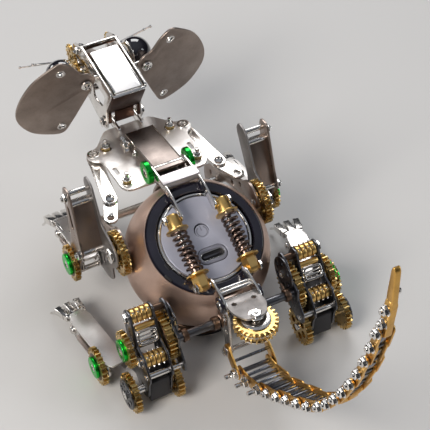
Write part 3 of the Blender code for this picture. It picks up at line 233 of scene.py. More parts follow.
class Paint:
    """A material and the nodes that make its surface."""

    def __init__(self, name):
        self.material = bpy.data.materials.new(name)
        self.material.use_nodes = True
        self.tree = self.material.node_tree
        self.shader = self.tree.nodes["Principled BSDF"]

    def node(self, kind, settings=None, inputs=None, output=0):
        """Adds a node: its options, then its values or links, and returns one output."""
        made = self.tree.nodes.new(kind)
        for name, setting in (settings or {}).items():
            if name == "stops":
                self.set_stops(made.color_ramp, setting)
            else:
                setattr(made, name, setting)
        for name, value in (inputs or {}).items():
            self.feed(made.inputs[name], value)
        return Value(self, made.outputs[output])

    def set_stops(self, ramp, stops):
        """Moves a new ramp's two stops and gives them their shades of grey."""
        for element, (position, shade) in zip(ramp.elements, stops):
            element.position = position
            element.color = (shade, shade, shade, 1)

    def feed(self, socket, value):
        if isinstance(value, Value):
            self.tree.links.new(value.socket, socket)
        elif isinstance(value, tuple) and len(value) == 3 and socket.type == "RGBA":
            socket.default_value = (*value, 1)
        else:
            socket.default_value = value

    def place(self, stretch=(1, 1, 1), turn=(0, 0, 0)):
        """Object coordinates in millimetres, stretched for brushed or rolled metal."""
        at = self.node("ShaderNodeTexCoord", output="Object")
        scale = tuple(side / MM for side in stretch)
        return self.node("ShaderNodeMapping", None, {"Vector": at, "Scale": scale, "Rotation": turn})

    def noise(self, scale, detail=3.0, stretch=(1, 1, 1), turn=(0, 0, 0)):
        return self.node("ShaderNodeTexNoise", None,
                         {"Vector": self.place(stretch, turn), "Scale": scale, "Detail": detail})

    def blend(self, amount, first, second):
        return self.node("ShaderNodeMix", {"data_type": "RGBA"}, {0: amount, 6: first, 7: second}, 2)

    def ramp(self, value, *stops):
        return self.node("ShaderNodeValToRGB", {"stops": stops}, {"Fac": value})

    def bump(self, height, strength, distance=0.02):
        return self.node("ShaderNodeBump", None,
                         {"Height": height, "Strength": strength, "Distance": distance * MM})

    def surface(self, colour, roughness, metallic, normal=None, coat=None):
        self.feed(self.shader.inputs["Base Color"], colour)
        self.feed(self.shader.inputs["Roughness"], roughness)
        self.feed(self.shader.inputs["Metallic"], metallic)
        if normal:
            self.feed(self.shader.inputs["Normal"], normal)
        if coat:
            self.shader.inputs["Coat Weight"].default_value = coat
            self.shader.inputs["Coat Roughness"].default_value = 0.05
        return self.material


print("maths on sockets:", [name for name in vars(Value) if name.endswith(("add__", "mul__"))])

# %% [markdown]
# Sheet metal shows where it was rolled or brushed: fine lines one way, a slow drift of
# tone, some smudges, and brighter metal along edges where hands and screws rub it.
# One function makes every metal of the mouse from its clean tone, its dull tone and
# how strongly it is brushed.

# %% Metals
def metal(name, clean, dull, roughness, brushed=0.0, along=(1, 14, 14), wear=0.35, grain=1.0, cavity_shade=0.25):
    """Metal with smudges, worn edges, painted shade in hollows and corners, and brush lines where brushed
    is above zero.
    """
    paint = Paint(name)
    smudge = paint.ramp(paint.noise(0.16, 4), (0.32, 0), (0.68, 1))
    speck = paint.ramp(paint.noise(1.3 * grain, 5), (0.45, 0), (0.8, 1))
    edge = paint.node("ShaderNodeNewGeometry", output="Pointiness")
    worn = paint.ramp(edge, (0.51, 0), (0.6, 1)) * wear
    colour = paint.blend(smudge * 0.55 + speck * 0.2, clean, dull)
    bright = tuple(min(1.0, channel * 1.25 + 0.06) for channel in clean)
    colour = paint.blend(worn, colour, bright)
    # Painted shade: hollows and inner corners, where pointiness is low, are darkened towards near black.
    corner = paint.ramp(edge, (0.42, 1), (0.49, 0)) * cavity_shade
    colour = paint.blend(corner, colour, tuple(channel * 0.12 for channel in dull))
    lines = paint.noise(1.6, 2, along)
    rough = smudge * 0.1 + speck * 0.06 + lines * (0.16 * brushed) + (roughness - 0.08 * brushed)
    height = lines * brushed + speck * 0.25
    return paint.surface(colour, rough, 1.0, paint.bump(height, 0.12 + 0.22 * brushed))


def cast(name, colour_low, colour_high, roughness, scale, metallic=0.0, coat=None, strength=0.15):
    """Moulded or painted stuff: two close tones and a fine grain."""
    paint = Paint(name)
    drift = paint.ramp(paint.noise(0.12, 4), (0.3, 0), (0.7, 1))
    grain = paint.noise(scale, 3)
    colour = paint.blend(drift * 0.7 + grain * 0.3, colour_low, colour_high)
    return paint.surface(colour, drift * 0.08 + grain * 0.06 + roughness, metallic,
                         paint.bump(grain, strength), coat)


# %% The mouse's finishes
FINISHES = {
    "copper": lambda: metal("satin_copper", (0.62, 0.45, 0.37), (0.45, 0.31, 0.25), 0.37, wear=0.1,
                            grain=2.5),
    "gloss_black": lambda: cast("gloss_black", (0.006, 0.0055, 0.01), (0.014, 0.012, 0.022), 0.08, 0.4,
                                coat=0.6, strength=0.02),
    "cap_grey": lambda: cast("anodised_grey", (0.36, 0.365, 0.44), (0.45, 0.455, 0.53), 0.34, 6, 0.25,
                             strength=0.05),
    "mark_grey": lambda: cast("engraved_grey", (0.20, 0.20, 0.24), (0.28, 0.28, 0.33), 0.4, 6, 0.3),
    "matt_black": lambda: cast("matt_black", (0.008, 0.008, 0.01), (0.02, 0.018, 0.02), 0.5, 4),
    "nickel": lambda: metal("bright_nickel", (0.80, 0.77, 0.73), (0.50, 0.46, 0.43), 0.13),
    "brushed": lambda: metal("brushed_nickel", (0.66, 0.62, 0.59), (0.42, 0.38, 0.36), 0.25, 0.8),
    "brushed_long": lambda: metal("brushed_nickel_lengthways", (0.58, 0.54, 0.54), (0.38, 0.34, 0.34), 0.28,
                                  0.9, (14, 1, 14)),
    # Satin nickel with its base raised towards white: partly the satin finish, partly a painted highlight.
    "satin_with_painted_highlight": lambda: metal("satin_nickel_painted_highlight", (0.92, 0.88, 0.85), (0.72, 0.66, 0.62), 0.38, 0.15,
                                 wear=0.6),
    "grey_plate": lambda: metal("grey_plate", (0.30, 0.28, 0.27), (0.16, 0.15, 0.145), 0.42, 0.5, wear=0.8),
    # Nickel painted near white: a painted highlight for the head's top plate.
    "head_painted_white": lambda: metal("head_plate_painted_highlight", (0.96, 0.94, 0.92), (0.85, 0.82, 0.80), 0.34, 0.3,
                                (14, 1, 14), wear=0.2),
    "ear_bronze": lambda: metal("ear_bronze", (0.34, 0.275, 0.235), (0.17, 0.135, 0.115), 0.3, 0.55,
                                (4, 12, 4), wear=1.0),
    "brown_plate": lambda: metal("brown_plate", (0.27, 0.205, 0.17), (0.12, 0.085, 0.068), 0.3, 0.6,
                                 wear=0.8),
    "dark_satin": lambda: metal("dark_satin_cover", (0.24, 0.20, 0.18), (0.10, 0.08, 0.072), 0.26, 0.4),
    "blued_steel": lambda: metal("blued_steel", (0.20, 0.22, 0.26), (0.09, 0.10, 0.13), 0.22, 0.3),
    "bronze_plate": lambda: metal("bronze_plate", (0.36, 0.29, 0.25), (0.19, 0.15, 0.13), 0.26, 0.7,
                                  (3, 9, 3), wear=0.7),
    "dark_bronze": lambda: metal("dark_bronze", (0.14, 0.085, 0.055), (0.07, 0.045, 0.03), 0.34),
    "rust_panel": lambda: metal("dark_brown_panel", (0.075, 0.032, 0.018), (0.02, 0.012, 0.009), 0.34, 0.5),
    "brass": lambda: metal("brass", (0.62, 0.43, 0.16), (0.27, 0.165, 0.05), 0.2, wear=0.6, cavity_shade=0.9),
    "satin_brass": lambda: metal("satin_brass", (0.74, 0.48, 0.16), (0.44, 0.26, 0.07), 0.25, wear=0.5,
                                 cavity_shade=0.8),
    "gold": lambda: metal("tail_gold", (0.74, 0.43, 0.11), (0.36, 0.19, 0.04), 0.28, 0.3, (9, 3, 3),
                          wear=0.5, cavity_shade=0.6),
    "spring_steel": lambda: metal("spring_steel", (0.22, 0.155, 0.13), (0.07, 0.048, 0.04), 0.2, wear=0.1),
    "dark_steel": lambda: metal("dark_steel", (0.13, 0.13, 0.14), (0.05, 0.05, 0.055), 0.25, 0.4),
    "green": lambda: metal("green_anodised", (0.015, 0.62, 0.06), (0.01, 0.36, 0.03), 0.16, wear=0.0),
    "eye_black": lambda: cast("eye_black", (0.006, 0.006, 0.01), (0.012, 0.01, 0.016), 0.03, 0.3,
                              coat=1.0, strength=0.0),
    "board_green": lambda: cast("board_green", (0.02, 0.16, 0.06), (0.03, 0.24, 0.09), 0.4, 3),
    "battery_blue": lambda: cast("battery_blue", (0.03, 0.08, 0.30), (0.05, 0.12, 0.40), 0.35, 2),
}
made_finishes = {}


def finish(name):
    """One material for each finish, made when the first piece asks for it."""
    if name not in made_finishes:
        made_finishes[name] = FINISHES[name]()
    return made_finishes[name]


print(len(FINISHES), "finishes")

# %% [markdown]
# ## Shapes
# Four kinds of shape make nearly the whole mouse: blocks, round bars, turned pieces and
# flat sheets cut to an outline. Each comes from bmesh operators and has its edges
# rounded, because a real edge catches the light and a perfect one looks drawn.

# %% Rounding and joining
def soften(shape, width, segments=2, sharper_than=0.6):
    """Bevels the edges whose faces meet at more than an angle in radians."""
    edges = [edge for edge in shape.edges if len(edge.link_faces) == 2
             and edge.calc_face_angle(0) > sharper_than]
    bmesh.ops.bevel(shape, geom=edges, offset=width, offset_type="OFFSET", affect="EDGES",
                    segments=segments, profile=0.5, material=-1, clamp_overlap=True)
    return shape


def outward(shape):
    bmesh.ops.recalc_face_normals(shape, faces=shape.faces)
    return shape


def join(target, shape, place=Matrix()):
    """Adds a shape to another one, moved to its place."""
    shape.transform(place)
    if place.determinant() < 0:
        bmesh.ops.reverse_faces(shape, faces=shape.faces)
    mesh = bpy.data.meshes.new("shape")
    shape.to_mesh(mesh)
    shape.free()
    target.from_mesh(mesh)
    bpy.data.meshes.remove(mesh)
    return target


def group(*shapes):
    target = bmesh.new()
    for shape in shapes:
        join(target, shape)
    return target


def at(shape, place):
    """A shape moved by a matrix, or to a point."""
    place = place if isinstance(place, Matrix) else Matrix.Translation(place)
    return join(bmesh.new(), shape, place)


# %% Frames to draw in
def plane(origin, u, v):
    """The frame at a point whose first two axes are u and v."""
    u, v = Vector(u).normalized(), Vector(v).normalized()
    w = u.cross(v)
    return Matrix(((u.x, v.x, w.x, origin[0]), (u.y, v.y, w.y, origin[1]),
                   (u.z, v.z, w.z, origin[2]), (0, 0, 0, 1)))


def side_plane(x, point=(0, 0, 0)):
    """U runs forward and V up, W points to the mouse's right."""
    return plane((x, point[1], point[2]), (0, 1, 0), (0, 0, 1))


def facing(point, axis):
    """A frame whose W runs along an axis."""
    turn = Vector((0, 0, 1)).rotation_difference(Vector(axis)).to_matrix().to_4x4()
    return Matrix.Translation(point) @ turn


# %% Blocks, bars and turned pieces
def block(low, high, rounding=0.15, segments=2):
    shape = bmesh.new()
    bmesh.ops.create_cube(shape, size=1)
    low, high = Vector(low), Vector(high)
    bmesh.ops.scale(shape, vec=high - low, verts=shape.verts)
    bmesh.ops.translate(shape, vec=(low + high) / 2, verts=shape.verts)
    return soften(shape, rounding, segments) if rounding else shape


def bar(start, end, radius, sides=20, rounding=0.12):
    """A round bar between two points."""
    start, end = Vector(start), Vector(end)
    shape = bmesh.new()
    bmesh.ops.create_cone(shape, cap_ends=True, segments=sides, radius1=radius, radius2=radius,
                          depth=(end - start).length)
    if rounding:
        soften(shape, rounding, 2, 1.0)
    return at(shape, facing((start + end) / 2, end - start))


def across(point, low_x, high_x, radius, sides=20, rounding=0.12):
    """A bar from side to side through a point."""
    return bar((low_x, point.y, point.z), (high_x, point.y, point.z), radius, sides, rounding)


def turned(profile, sides=32, rounding=0.0, closed=False):
    """A profile of (radius, height) spun about Z."""
    shape = bmesh.new()
    points = [shape.verts.new((radius, 0, height)) for radius, height in profile]
    edges = [shape.edges.new(pair) for pair in zip(points, points[1:])]
    if closed:
        edges.append(shape.edges.new((points[-1], points[0])))
    bmesh.ops.spin(shape, geom=points + edges, cent=(0, 0, 0), axis=(0, 0, 1), angle=2 * math.pi,
                   steps=sides, use_merge=True)
    bmesh.ops.remove_doubles(shape, verts=shape.verts, dist=0.0005)
    outward(shape)
    return soften(shape, rounding, 2, 0.7) if rounding else shape


def ring(centre_radius, thickness, height, sides=32):
    """A flat washer of square section with rounded edges, standing on Z = 0."""
    inner, outer = centre_radius - thickness / 2, centre_radius + thickness / 2
    return turned([(inner, 0), (outer, 0), (outer, height), (inner, height)], sides,
                  min(thickness, height) * 0.22, closed=True)


print("a block has", len(block((0, 0, 0), (1, 1, 1)).faces), "faces")

# %% [markdown]
# A sheet is drawn as its outline and holes in a plane. The triangle fill operator
# closes the area between the loops, the coplanar edges inside it are dissolved, and
# the area is extruded to the sheet's thickness.

# %% Sheets cut to an outline
def round_loop(centre, radius, sides=20):
    return [(centre[0] + radius * math.cos(2 * math.pi * k / sides),
             centre[1] + radius * math.sin(2 * math.pi * k / sides)) for k in range(sides)]


def capsule(start, end, start_radius, end_radius, steps=8):
    """A dog-bone outline round two points."""
    direction = math.atan2(end[1] - start[1], end[0] - start[0])
    points = []
    for centre, radius, first in ((end, end_radius, direction - math.pi / 2),
                                  (start, start_radius, direction + math.pi / 2)):
        points += [(centre[0] + radius * math.cos(first + math.pi * k / steps),
                    centre[1] + radius * math.sin(first + math.pi * k / steps)) for k in range(steps + 1)]
    return points


def slot(centre, length, width, angle=0.0, steps=6):
    reach = (length - width) / 2
    du, dv = reach * math.cos(angle), reach * math.sin(angle)
    return capsule((centre[0] - du, centre[1] - dv), (centre[0] + du, centre[1] + dv),
                   width / 2, width / 2, steps)


def rounded(corners_list, radius, steps=4):
    """An outline with its corners turned into arcs, as tin snips and a file leave them."""
    points = []
    count = len(corners_list)
    for k, corner in enumerate(corners_list):
        corner = Vector(corner)
        before = Vector(corners_list[k - 1]) - corner
        after = Vector(corners_list[(k + 1) % count]) - corner
        reach = min(radius, before.length * 0.45, after.length * 0.45)
        first, last = corner + before.normalized() * reach, corner + after.normalized() * reach
        for step in range(steps + 1):
            share = step / steps
            spot = first.lerp(corner, share).lerp(corner.lerp(last, share), share)
            points.append((spot.x, spot.y))
    return points


def smooth_loop(knots, steps=6):
    """A closed curve through its points (Catmull-Rom)."""
    points = []
    count = len(knots)
    for k in range(count):
        a, b, c, d = (Vector(knots[(k + shift) % count]) for shift in (-1, 0, 1, 2))
        for step in range(steps):
            t = step / steps
            spot = 0.5 * (2 * b + (c - a) * t + (2 * a - 5 * b + 4 * c - d) * t * t
                          + (3 * b - a - 3 * c + d) * t ** 3)
            points.append((spot.x, spot.y))
    return points


def sheet(outline, thickness, holes=(), rounding=0.1, segments=2):
    """A flat piece centred on the plane W = 0."""
    shape = bmesh.new()
    for loop in [outline, *holes]:
        points = [shape.verts.new((u, v, 0)) for u, v in loop]
        for first, second in zip(points, points[1:] + points[:1]):
            shape.edges.new((first, second))
    bmesh.ops.triangle_fill(shape, use_beauty=True, use_dissolve=False, edges=shape.edges[:],
                            normal=(0, 0, 1))
    bmesh.ops.dissolve_limit(shape, angle_limit=0.01, verts=shape.verts, edges=shape.edges,
                             use_dissolve_boundaries=False)
    bmesh.ops.translate(shape, vec=(0, 0, -thickness / 2), verts=shape.verts)
    grown = bmesh.ops.extrude_face_region(shape, geom=shape.faces[:], use_keep_orig=True)
    raised = [item for item in grown["geom"] if isinstance(item, bmesh.types.BMVert)]
    bmesh.ops.translate(shape, vec=(0, 0, thickness), verts=raised)
    outward(shape)
    if rounding:
        rims = [edge for edge in shape.edges if len(edge.link_faces) == 2 and edge.calc_face_angle(0) > 0.9
                and abs(edge.verts[0].co.z - edge.verts[1].co.z) < thickness / 2]
        bmesh.ops.bevel(shape, geom=rims, offset=rounding, offset_type="OFFSET", affect="EDGES",
                        segments=segments, profile=0.5, material=-1, clamp_overlap=True)
    return shape


print("a holed sheet has", len(sheet([(0, 0), (9, 0), (9, 5), (0, 5)], 1, [round_loop((4, 2), 1)]).faces),
      "faces")

# %% [markdown]
# Gears start from a circle with one side for each tooth and one for each gap. The
# circle is filled round its holes and extruded, and every second side wall is drawn
# out and narrowed into a tooth. The tooth's flanks come out straight and tapered,
# which is all that a pressed toy gear has.

# %% Gears
GEAR_MODULE = 0.56
TOOTH_TIP = 0.45
TOOTH_ROOT = 0.7
TOOTH_TAPER = 0.42          # share of a tooth's width that its tip loses
TOOTH_ROUNDING = 0.07
SMALLEST_HUB = 1.2


def gear(teeth, thickness, bore=0.0, windows=0, phase=0.0):
    """A gear on Z, centred on Z = 0, with windows round holes in its web."""
    pitch = GEAR_MODULE * teeth / 2
    root, tip = pitch - TOOTH_ROOT, pitch + TOOTH_TIP
    step = math.pi / teeth
    outline = [(root * math.cos(phase + (k - 0.5) * step), root * math.sin(phase + (k - 0.5) * step))
               for k in range(2 * teeth)]
    holes = [round_loop((0, 0), bore, 16)] if bore else []
    reach = (root + max(bore, SMALLEST_HUB)) / 2
    size = min((root - max(bore, SMALLEST_HUB)) * 0.3, reach * math.sin(math.pi / max(windows, 2)) * 0.72)
    for k in range(windows):
        angle = phase + 2 * math.pi * k / windows
        holes.append(round_loop((reach * math.cos(angle), reach * math.sin(angle)), size, 12))
    shape = sheet(outline, thickness, holes, 0)
    walls = [face for face in shape.faces if abs(face.normal.z) < 0.1
             and face.calc_center_median().to_2d().length > root * 0.9]
    teeth_walls = [face for face in walls
                   if round((math.atan2(face.calc_center_median().y, face.calc_center_median().x) - phase)
                            / step) % 2 == 0]
    for face in bmesh.ops.extrude_discrete_faces(shape, faces=teeth_walls)["faces"]:
        middle = face.calc_center_median()
        outwards = Vector((middle.x, middle.y, 0)).normalized()
        sideways = Vector((-outwards.y, outwards.x, 0))
        for vertex in face.verts:
            vertex.co -= sideways * (vertex.co - middle).dot(sideways) * TOOTH_TAPER
            vertex.co += outwards * (tip - root)
    outward(shape)
    return soften(shape, TOOTH_ROUNDING, 1, 0.9)


print("a 24-tooth gear has", len(gear(24, 2, 1.3, 6).faces), "faces")

# %% [markdown]
# The mouse is held together by the same few fasteners. A nut is a six-sided bar with
# its corners turned off, on a washer, with the screw's end standing out of it. A screw
# has a domed head, and its cross cut is a black cross of painted shade standing on the
# head. There are about two hundred of them, so each has only a few dozen faces.

# %% Nuts, screws and washers
def nut(width=1.8, height=1.3, stud=0.9, stud_height=0.7):
    """A hex nut with its screw's end, standing on Z = 0 and pointing up."""
    body = turned([(0, 0), (width, 0), (width, height * 0.8), (width * 0.8, height), (0, height)], 6)
    end = bar((0, 0, height * 0.5), (0, 0, height + stud_height), stud, 10, 0.15)
    return group(body, end)


def screw_head(radius=2.0, height=1.1):
    """A pan head standing on Z = 0."""
    dome = [(radius * math.cos(a), height * 0.35 + height * 0.65 * math.sin(a))
            for a in (0, 0.35, 0.7, 1.05, 1.35)]
    return turned([(0, 0), (radius, 0)] + dome + [(0, height)], 18)


def cross_cut_shade(radius=2.0, height=1.1):
    """The cross cut of a screw head as a black cross standing on the head: painted shade for its recess."""
    reach, half = radius * 0.55, radius * 0.12
    top = height * 1.02
    arms = [block((-reach, -half, top - 0.3), (reach, half, top), 0),
            block((-half, -reach, top - 0.3), (half, reach, top), 0)]
    return group(*arms)


def washer(radius, height=0.4, bore=None):
    bore = radius * 0.45 if bore is None else bore
    return turned([(bore, 0), (radius, 0), (radius, height), (bore, height)], 24, height * 0.2, closed=True)


print("a nut has", len(nut().faces), "faces")

# %% [markdown]
# A kit gathers the shapes of one sub-assembly by finish and turns each finish into one
# object. It also says which body the objects ride on and which solids they stand for.
# The left half of the mouse is the right half's kit, mirrored as it is handed over.

# %% Kits
class Kit:
    def __init__(self, name, body, nodes=(), mirrored=False):
        self.name, self.body, self.nodes = name, body, list(nodes)
        self.place = Matrix.Scale(-1, 4, (1, 0, 0)) if mirrored else Matrix()
        self.parts = {}

    def add(self, part, finish_name, *shapes):
        """Adds shapes in the mouse's own millimetres to a named part."""
        target = self.parts.setdefault(part, (finish_name, bmesh.new()))[1]
        for shape in shapes:
            join(target, shape)

    def hand_over(self):
        made = []
        for part, (finish_name, shape) in self.parts.items():
            shape.transform(Matrix.Scale(MM, 4) @ self.place)
            if self.place.determinant() < 0:
                bmesh.ops.reverse_faces(shape, faces=shape.faces)
            mesh = bpy.data.meshes.new(f"{self.name}_{part}")
            shape.to_mesh(mesh)
            shape.free()
            mesh.materials.append(finish(finish_name))
            mesh.shade_smooth()
            mesh.set_sharp_from_angle(angle=math.radians(32))
            item = bpy.data.objects.new(mesh.name, mesh)
            bpy.context.scene.collection.objects.link(item)
            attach(item, self.body)
            made.append(item)
        if self.nodes:
            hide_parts(*self.nodes)
        print(self.name, "->", ", ".join(self.parts))
        return made


def both_sides(build, name, body, *nodes):
    """Builds a kit for the right side and its mirror image for the left."""
    for side in ("right", "left"):
        kit = Kit(f"{name}_{side}", f"{body}_{side}" if body != "root" and body != "head" else body,
                  [f"{node}_{side}" for node in nodes], side == "left")
        build(kit)
        kit.hand_over()


# %% [markdown]
# ## The ball loudspeaker
# The shell is spun satin copper with a round mouth, the control cap sits in a glossy
# black ring, and the cap has a polished rim, a push button with a power mark and the
# charging socket. All are turned pieces drawn in the cap's own tilted frame.

# %% Shell
ring_low, ring_high = corners("speaker_bezel")
RING_OUTER = (ring_high.x - ring_low.x) / 2
RIM_HEIGHT = math.sqrt(BALL_RADIUS ** 2 - RING_OUTER ** 2)
RING_INNER = 16.6
WALL = 1.6


def arc(radius, first, last, steps):
    return [(radius * math.cos(first + (last - first) * k / steps),
             radius * math.sin(first + (last - first) * k / steps)) for k in range(steps + 1)]


def speaker_shell():
    kit = Kit("speaker_shell", "root", ["speaker_shell"])
    lip = RING_OUTER + 0.12
    mouth_angle = math.acos((lip + 0.3) / BALL_RADIUS)
    outside = arc(BALL_RADIUS, -math.pi / 2, mouth_angle, 44)
    inside = arc(BALL_RADIUS - WALL, math.acos(lip / (BALL_RADIUS - WALL)), -math.pi / 2, 30)
    shape = turned(outside + [(lip + 0.05, outside[-1][1] - 0.02), (lip, outside[-1][1] - 0.3)] + inside,
                   96)
    kit.add("copper", "copper", at(shape, CAP_FRAME))
    return kit.hand_over()


# %% Ring and cap
CAP_TOP = RIM_HEIGHT - 0.5
FACE_RADIUS = 14.9           # the cap's flat face, inside its bright rim
FACE_THICKNESS = 1.5
BUTTON_FORWARD = 2.3
BUTTON_HOLE = 2.62
SOCKET_BACK = 6.5
SOCKET_HOLE = (10.9, 5.9)
SOCKET_BEZEL = (10.6, 5.6)
SOCKET_MOUTH = (8.94, 3.26)
SOCKET_LINING = (8.9, 3.2)
SOCKET_INSIDE = (8.3, 2.6)


def speaker_ring():
    kit = Kit("speaker_ring", "root", ["speaker_bezel"])
    top = RIM_HEIGHT
    profile = [(RING_INNER, top - 2.8), (RING_INNER, CAP_TOP + 0.25), (RING_INNER + 0.35, CAP_TOP + 0.6),
               (18.4, top + 0.1), (RING_OUTER - 0.5, top - 0.12), (RING_OUTER - 0.08, top - 0.5),
               (RING_OUTER - 0.08, top - 2.8)]
    kit.add("gloss", "gloss_black", at(turned(profile, 96, closed=True), CAP_FRAME))
    for angle, radius, length in ((198, 17.3, 2.6), (207, 19.8, 3.0)):
        turn = Matrix.Rotation(math.radians(angle), 4, "Z")
        place = CAP_FRAME @ turn @ Matrix.Translation((radius, 0, CAP_TOP + 0.55))
        notch = block((-0.45, -length / 2, -0.3), (0.45, length / 2, 0.12), 0.1)
        kit.add("notches", "matt_black", at(notch, place))
    return kit.hand_over()


def speaker_cap():
    kit = Kit("speaker_cap", "root", ["speaker_cap"])
    button_low, button_high = corners("power_button")
    button_forward = (CAP_FRAME.inverted() @ ((button_low + button_high) / 2)).y
    holes = [round_loop((0, button_forward), BUTTON_HOLE, 40),
             slot((0, -SOCKET_BACK), *SOCKET_HOLE, steps=14)]
    disc = sheet(round_loop((0, 0), FACE_RADIUS, 96), FACE_THICKNESS, holes, 0.22, 3)
    middle = Matrix.Translation((0, 0, CAP_TOP - FACE_THICKNESS / 2))
    kit.add("face", "cap_grey", at(disc, CAP_FRAME @ middle))
    rim = [(15.15, CAP_TOP - 1.6), (15.15, CAP_TOP - 0.12), (15.4, CAP_TOP + 0.05), (15.95, CAP_TOP + 0.05),
           (16.22, CAP_TOP - 0.2), (16.22, CAP_TOP - 1.6)]
    kit.add("rim", "nickel", at(turned(rim, 96, closed=True), CAP_FRAME))
    # A black disc under the cap's face, seen through the gaps round the face, the button and the socket:
    # painted shade in those gaps.
    floor = [(2.8, CAP_TOP - 1.68), (15.6, CAP_TOP - 1.68), (15.6, CAP_TOP - 1.58), (2.8, CAP_TOP - 1.58)]
    kit.add("gap", "matt_black", at(turned(floor, 48, closed=True), CAP_FRAME))
    return kit.hand_over()


# %% Button and charging socket
def power_button():
    kit = Kit("power_button", "power_button", ["power_button"])
    place = CAP_FRAME @ Matrix.Translation((0, BUTTON_FORWARD, CAP_TOP))
    profile = [(0, -2.6), (3.3, -2.6), (3.3, -2.05), (2.42, -2.05), (2.42, -0.2), (2.3, -0.1), (0, -0.1)]
    kit.add("top", "cap_grey", at(turned(profile, 48), place))
    mark = bmesh.new()
    square = [(1.62, 0, -0.12), (1.98, 0, -0.12), (1.98, 0, -0.04), (1.62, 0, -0.04)]
    corners_made = [mark.verts.new(point) for point in square]
    end = mark.faces.new(corners_made)
    gap = math.radians(64)
    start = Matrix.Rotation(math.pi / 2 + gap / 2, 4, "Z")
    mark.transform(start)
    bmesh.ops.spin(mark, geom=[end, *end.edges, *end.verts], cent=(0, 0, 0), axis=(0, 0, 1),
                   angle=2 * math.pi - gap, steps=40, use_merge=False)
    kit.add("mark", "mark_grey", at(outward(mark), place),
            at(block((-0.18, 0.35, -0.12), (0.18, 2.15, -0.04), 0), place))
    return kit.hand_over()


def usb_socket():
    kit = Kit("usb_socket", "root", ["usb_socket"])
    place = CAP_FRAME @ Matrix.Translation((0, -SOCKET_BACK, CAP_TOP))
    mouth = slot((0, 0), *SOCKET_MOUTH, steps=12)
    bezel = sheet(slot((0, 0), *SOCKET_BEZEL, steps=14), 2.6, [mouth], 0.28, 3)
    kit.add("bezel", "mark_grey", at(bezel, place @ Matrix.Translation((0, 0, -1.17))))
    opening = slot((0, 0), *SOCKET_INSIDE, steps=12)
    lining = sheet(slot((0, 0), *SOCKET_LINING, steps=12), 2.0, [opening], 0.1)
    kit.add("lining", "nickel", at(lining, place @ Matrix.Translation((0, 0, -1.1))))
    kit.add("inside", "matt_black", at(block((-4.8, -2.1, -2.9), (4.8, 2.1, -2.3), 0.1), place))
    kit.add("tongue", "dark_steel", at(block((-3.2, -0.35, -2.4), (3.2, 0.35, -0.7), 0.1), place))
    return kit.hand_over()


for build in (speaker_shell, speaker_ring, speaker_cap, power_button, usb_socket):
    build()

# %% [markdown]
# The belly base is a turned dish with a groove and a rubber foot ring, and two riveted
# straps run round the ball from it. A strap is a small rectangle spun about X.

# %% Base and straps
def belly_base():
    high = corners("belly_base")[1]
    rim, height = high.x, high.z
    seat = BALL_RADIUS + 0.4
    edge = math.sqrt(seat ** 2 - (MIDDLE - height) ** 2)
    dish = [(edge * k / 10, MIDDLE - math.sqrt(seat ** 2 - (edge * k / 10) ** 2)) for k in range(11)]
    profile = dish + [(rim - 0.25, height), (rim, height - 0.25), (rim, 4.6), (rim - 0.4, 4.3),
                      (rim - 0.4, 3.9), (rim, 3.6), (rim - 1.4, 2.3), (rim - 1.5, 1.0), (0, 1.0)]
    kit = Kit("belly_base", "root", ["belly_base"])
    kit.add("dish", "dark_bronze", turned(profile, 72))
    foot_profile = [(rim - 4.5, 0), (rim - 1.5, 0), (rim - 1.5, 0.95), (rim - 4.5, 0.95)]
    kit.add("foot", "matt_black", turned(foot_profile, 72, 0.2, closed=True))
    return kit.hand_over()


def strap(name):
    """A band that follows the ball on the middle plane."""
    low, high = corners(name)
    radius = BALL_RADIUS + 0.5
    foot = math.asin((MIDDLE - low.z) / (radius + 1.2))
    front = name == "front_strap"
    top = math.asin((high.z - MIDDLE) / (radius + 1.2)) if front else math.pi - math.radians(172)
    span = foot + top
    half = (high.x - low.x) / 2
    shape = bmesh.new()
    section = [shape.verts.new((x, depth, 0)) for x, depth in
               ((-half, radius), (half, radius), (half, radius + 1.2), (-half, radius + 1.2))]
    face = shape.faces.new(section)
    shape.transform(Matrix.Rotation(-foot, 4, "X"))
    bmesh.ops.spin(shape, geom=[face, *face.edges, *face.verts], cent=(0, 0, 0), axis=(1, 0, 0),
                   angle=span, steps=36, use_merge=False)
    outward(shape)
    soften(shape, 0.15)
    kit = Kit(name, "root", [name])
    place = Matrix.Translation((0, 0, MIDDLE)) @ Matrix.Scale(1 if front else -1, 4, (0, 1, 0))
    kit.add("band", "bronze_plate", at(shape, place))
    for share in (0.12, 0.5, 0.88):
        angle = -foot + span * share
        direction = Vector((0, math.cos(angle), math.sin(angle)))
        for x in (-half + 1.4, half - 1.4):
            rivet = at(turned([(0, 0), (0.8, 0), (0.7, 0.3), (0.35, 0.5), (0, 0.55)], 12),
                       place @ facing(Vector((x, 0, 0)) + direction * (radius + 1.1), direction))
            kit.add("rivets", "nickel", rivet)
    return kit.hand_over()


def inner_parts():
    """Finishes for the solids inside the closed ball, which keep their plain shapes."""
    for node, name in (("circuit_board", "board_green"), ("driver_unit", "matt_black"),
                       ("battery_cell", "battery_blue"), ("front_axle", "nickel")):
        materials = frame["nodes"][node].data.materials
        materials.clear()
        materials.append(finish(name))
    return "inner parts finished"


belly_base()
strap("front_strap")
strap("rear_strap")
print(inner_parts())

# %% [markdown]
# ## Struts
# Two spring struts lie over the cap. Each has brass cups with flanges, a coil of dark
# steel and a piston in a sleeve. The coil is one circle spun along a helix: spin takes
# a step along its axis as well as an angle. The lower cup is six-sided.

# %% Struts
STRUT_SPREAD = 9.2
STRUT_LENGTH = 25.0
STRUT_RISE = RIM_HEIGHT + 3.95
STRUT_TOP = CAP_FRAME @ Vector((0, 8.4, STRUT_RISE))
STRUT_BOTTOM = CAP_FRAME @ Vector((0, 8.4 - STRUT_LENGTH, STRUT_RISE))
COIL_RADIUS, COIL_WIRE, COIL_TURNS = 2.5, 0.5, 8


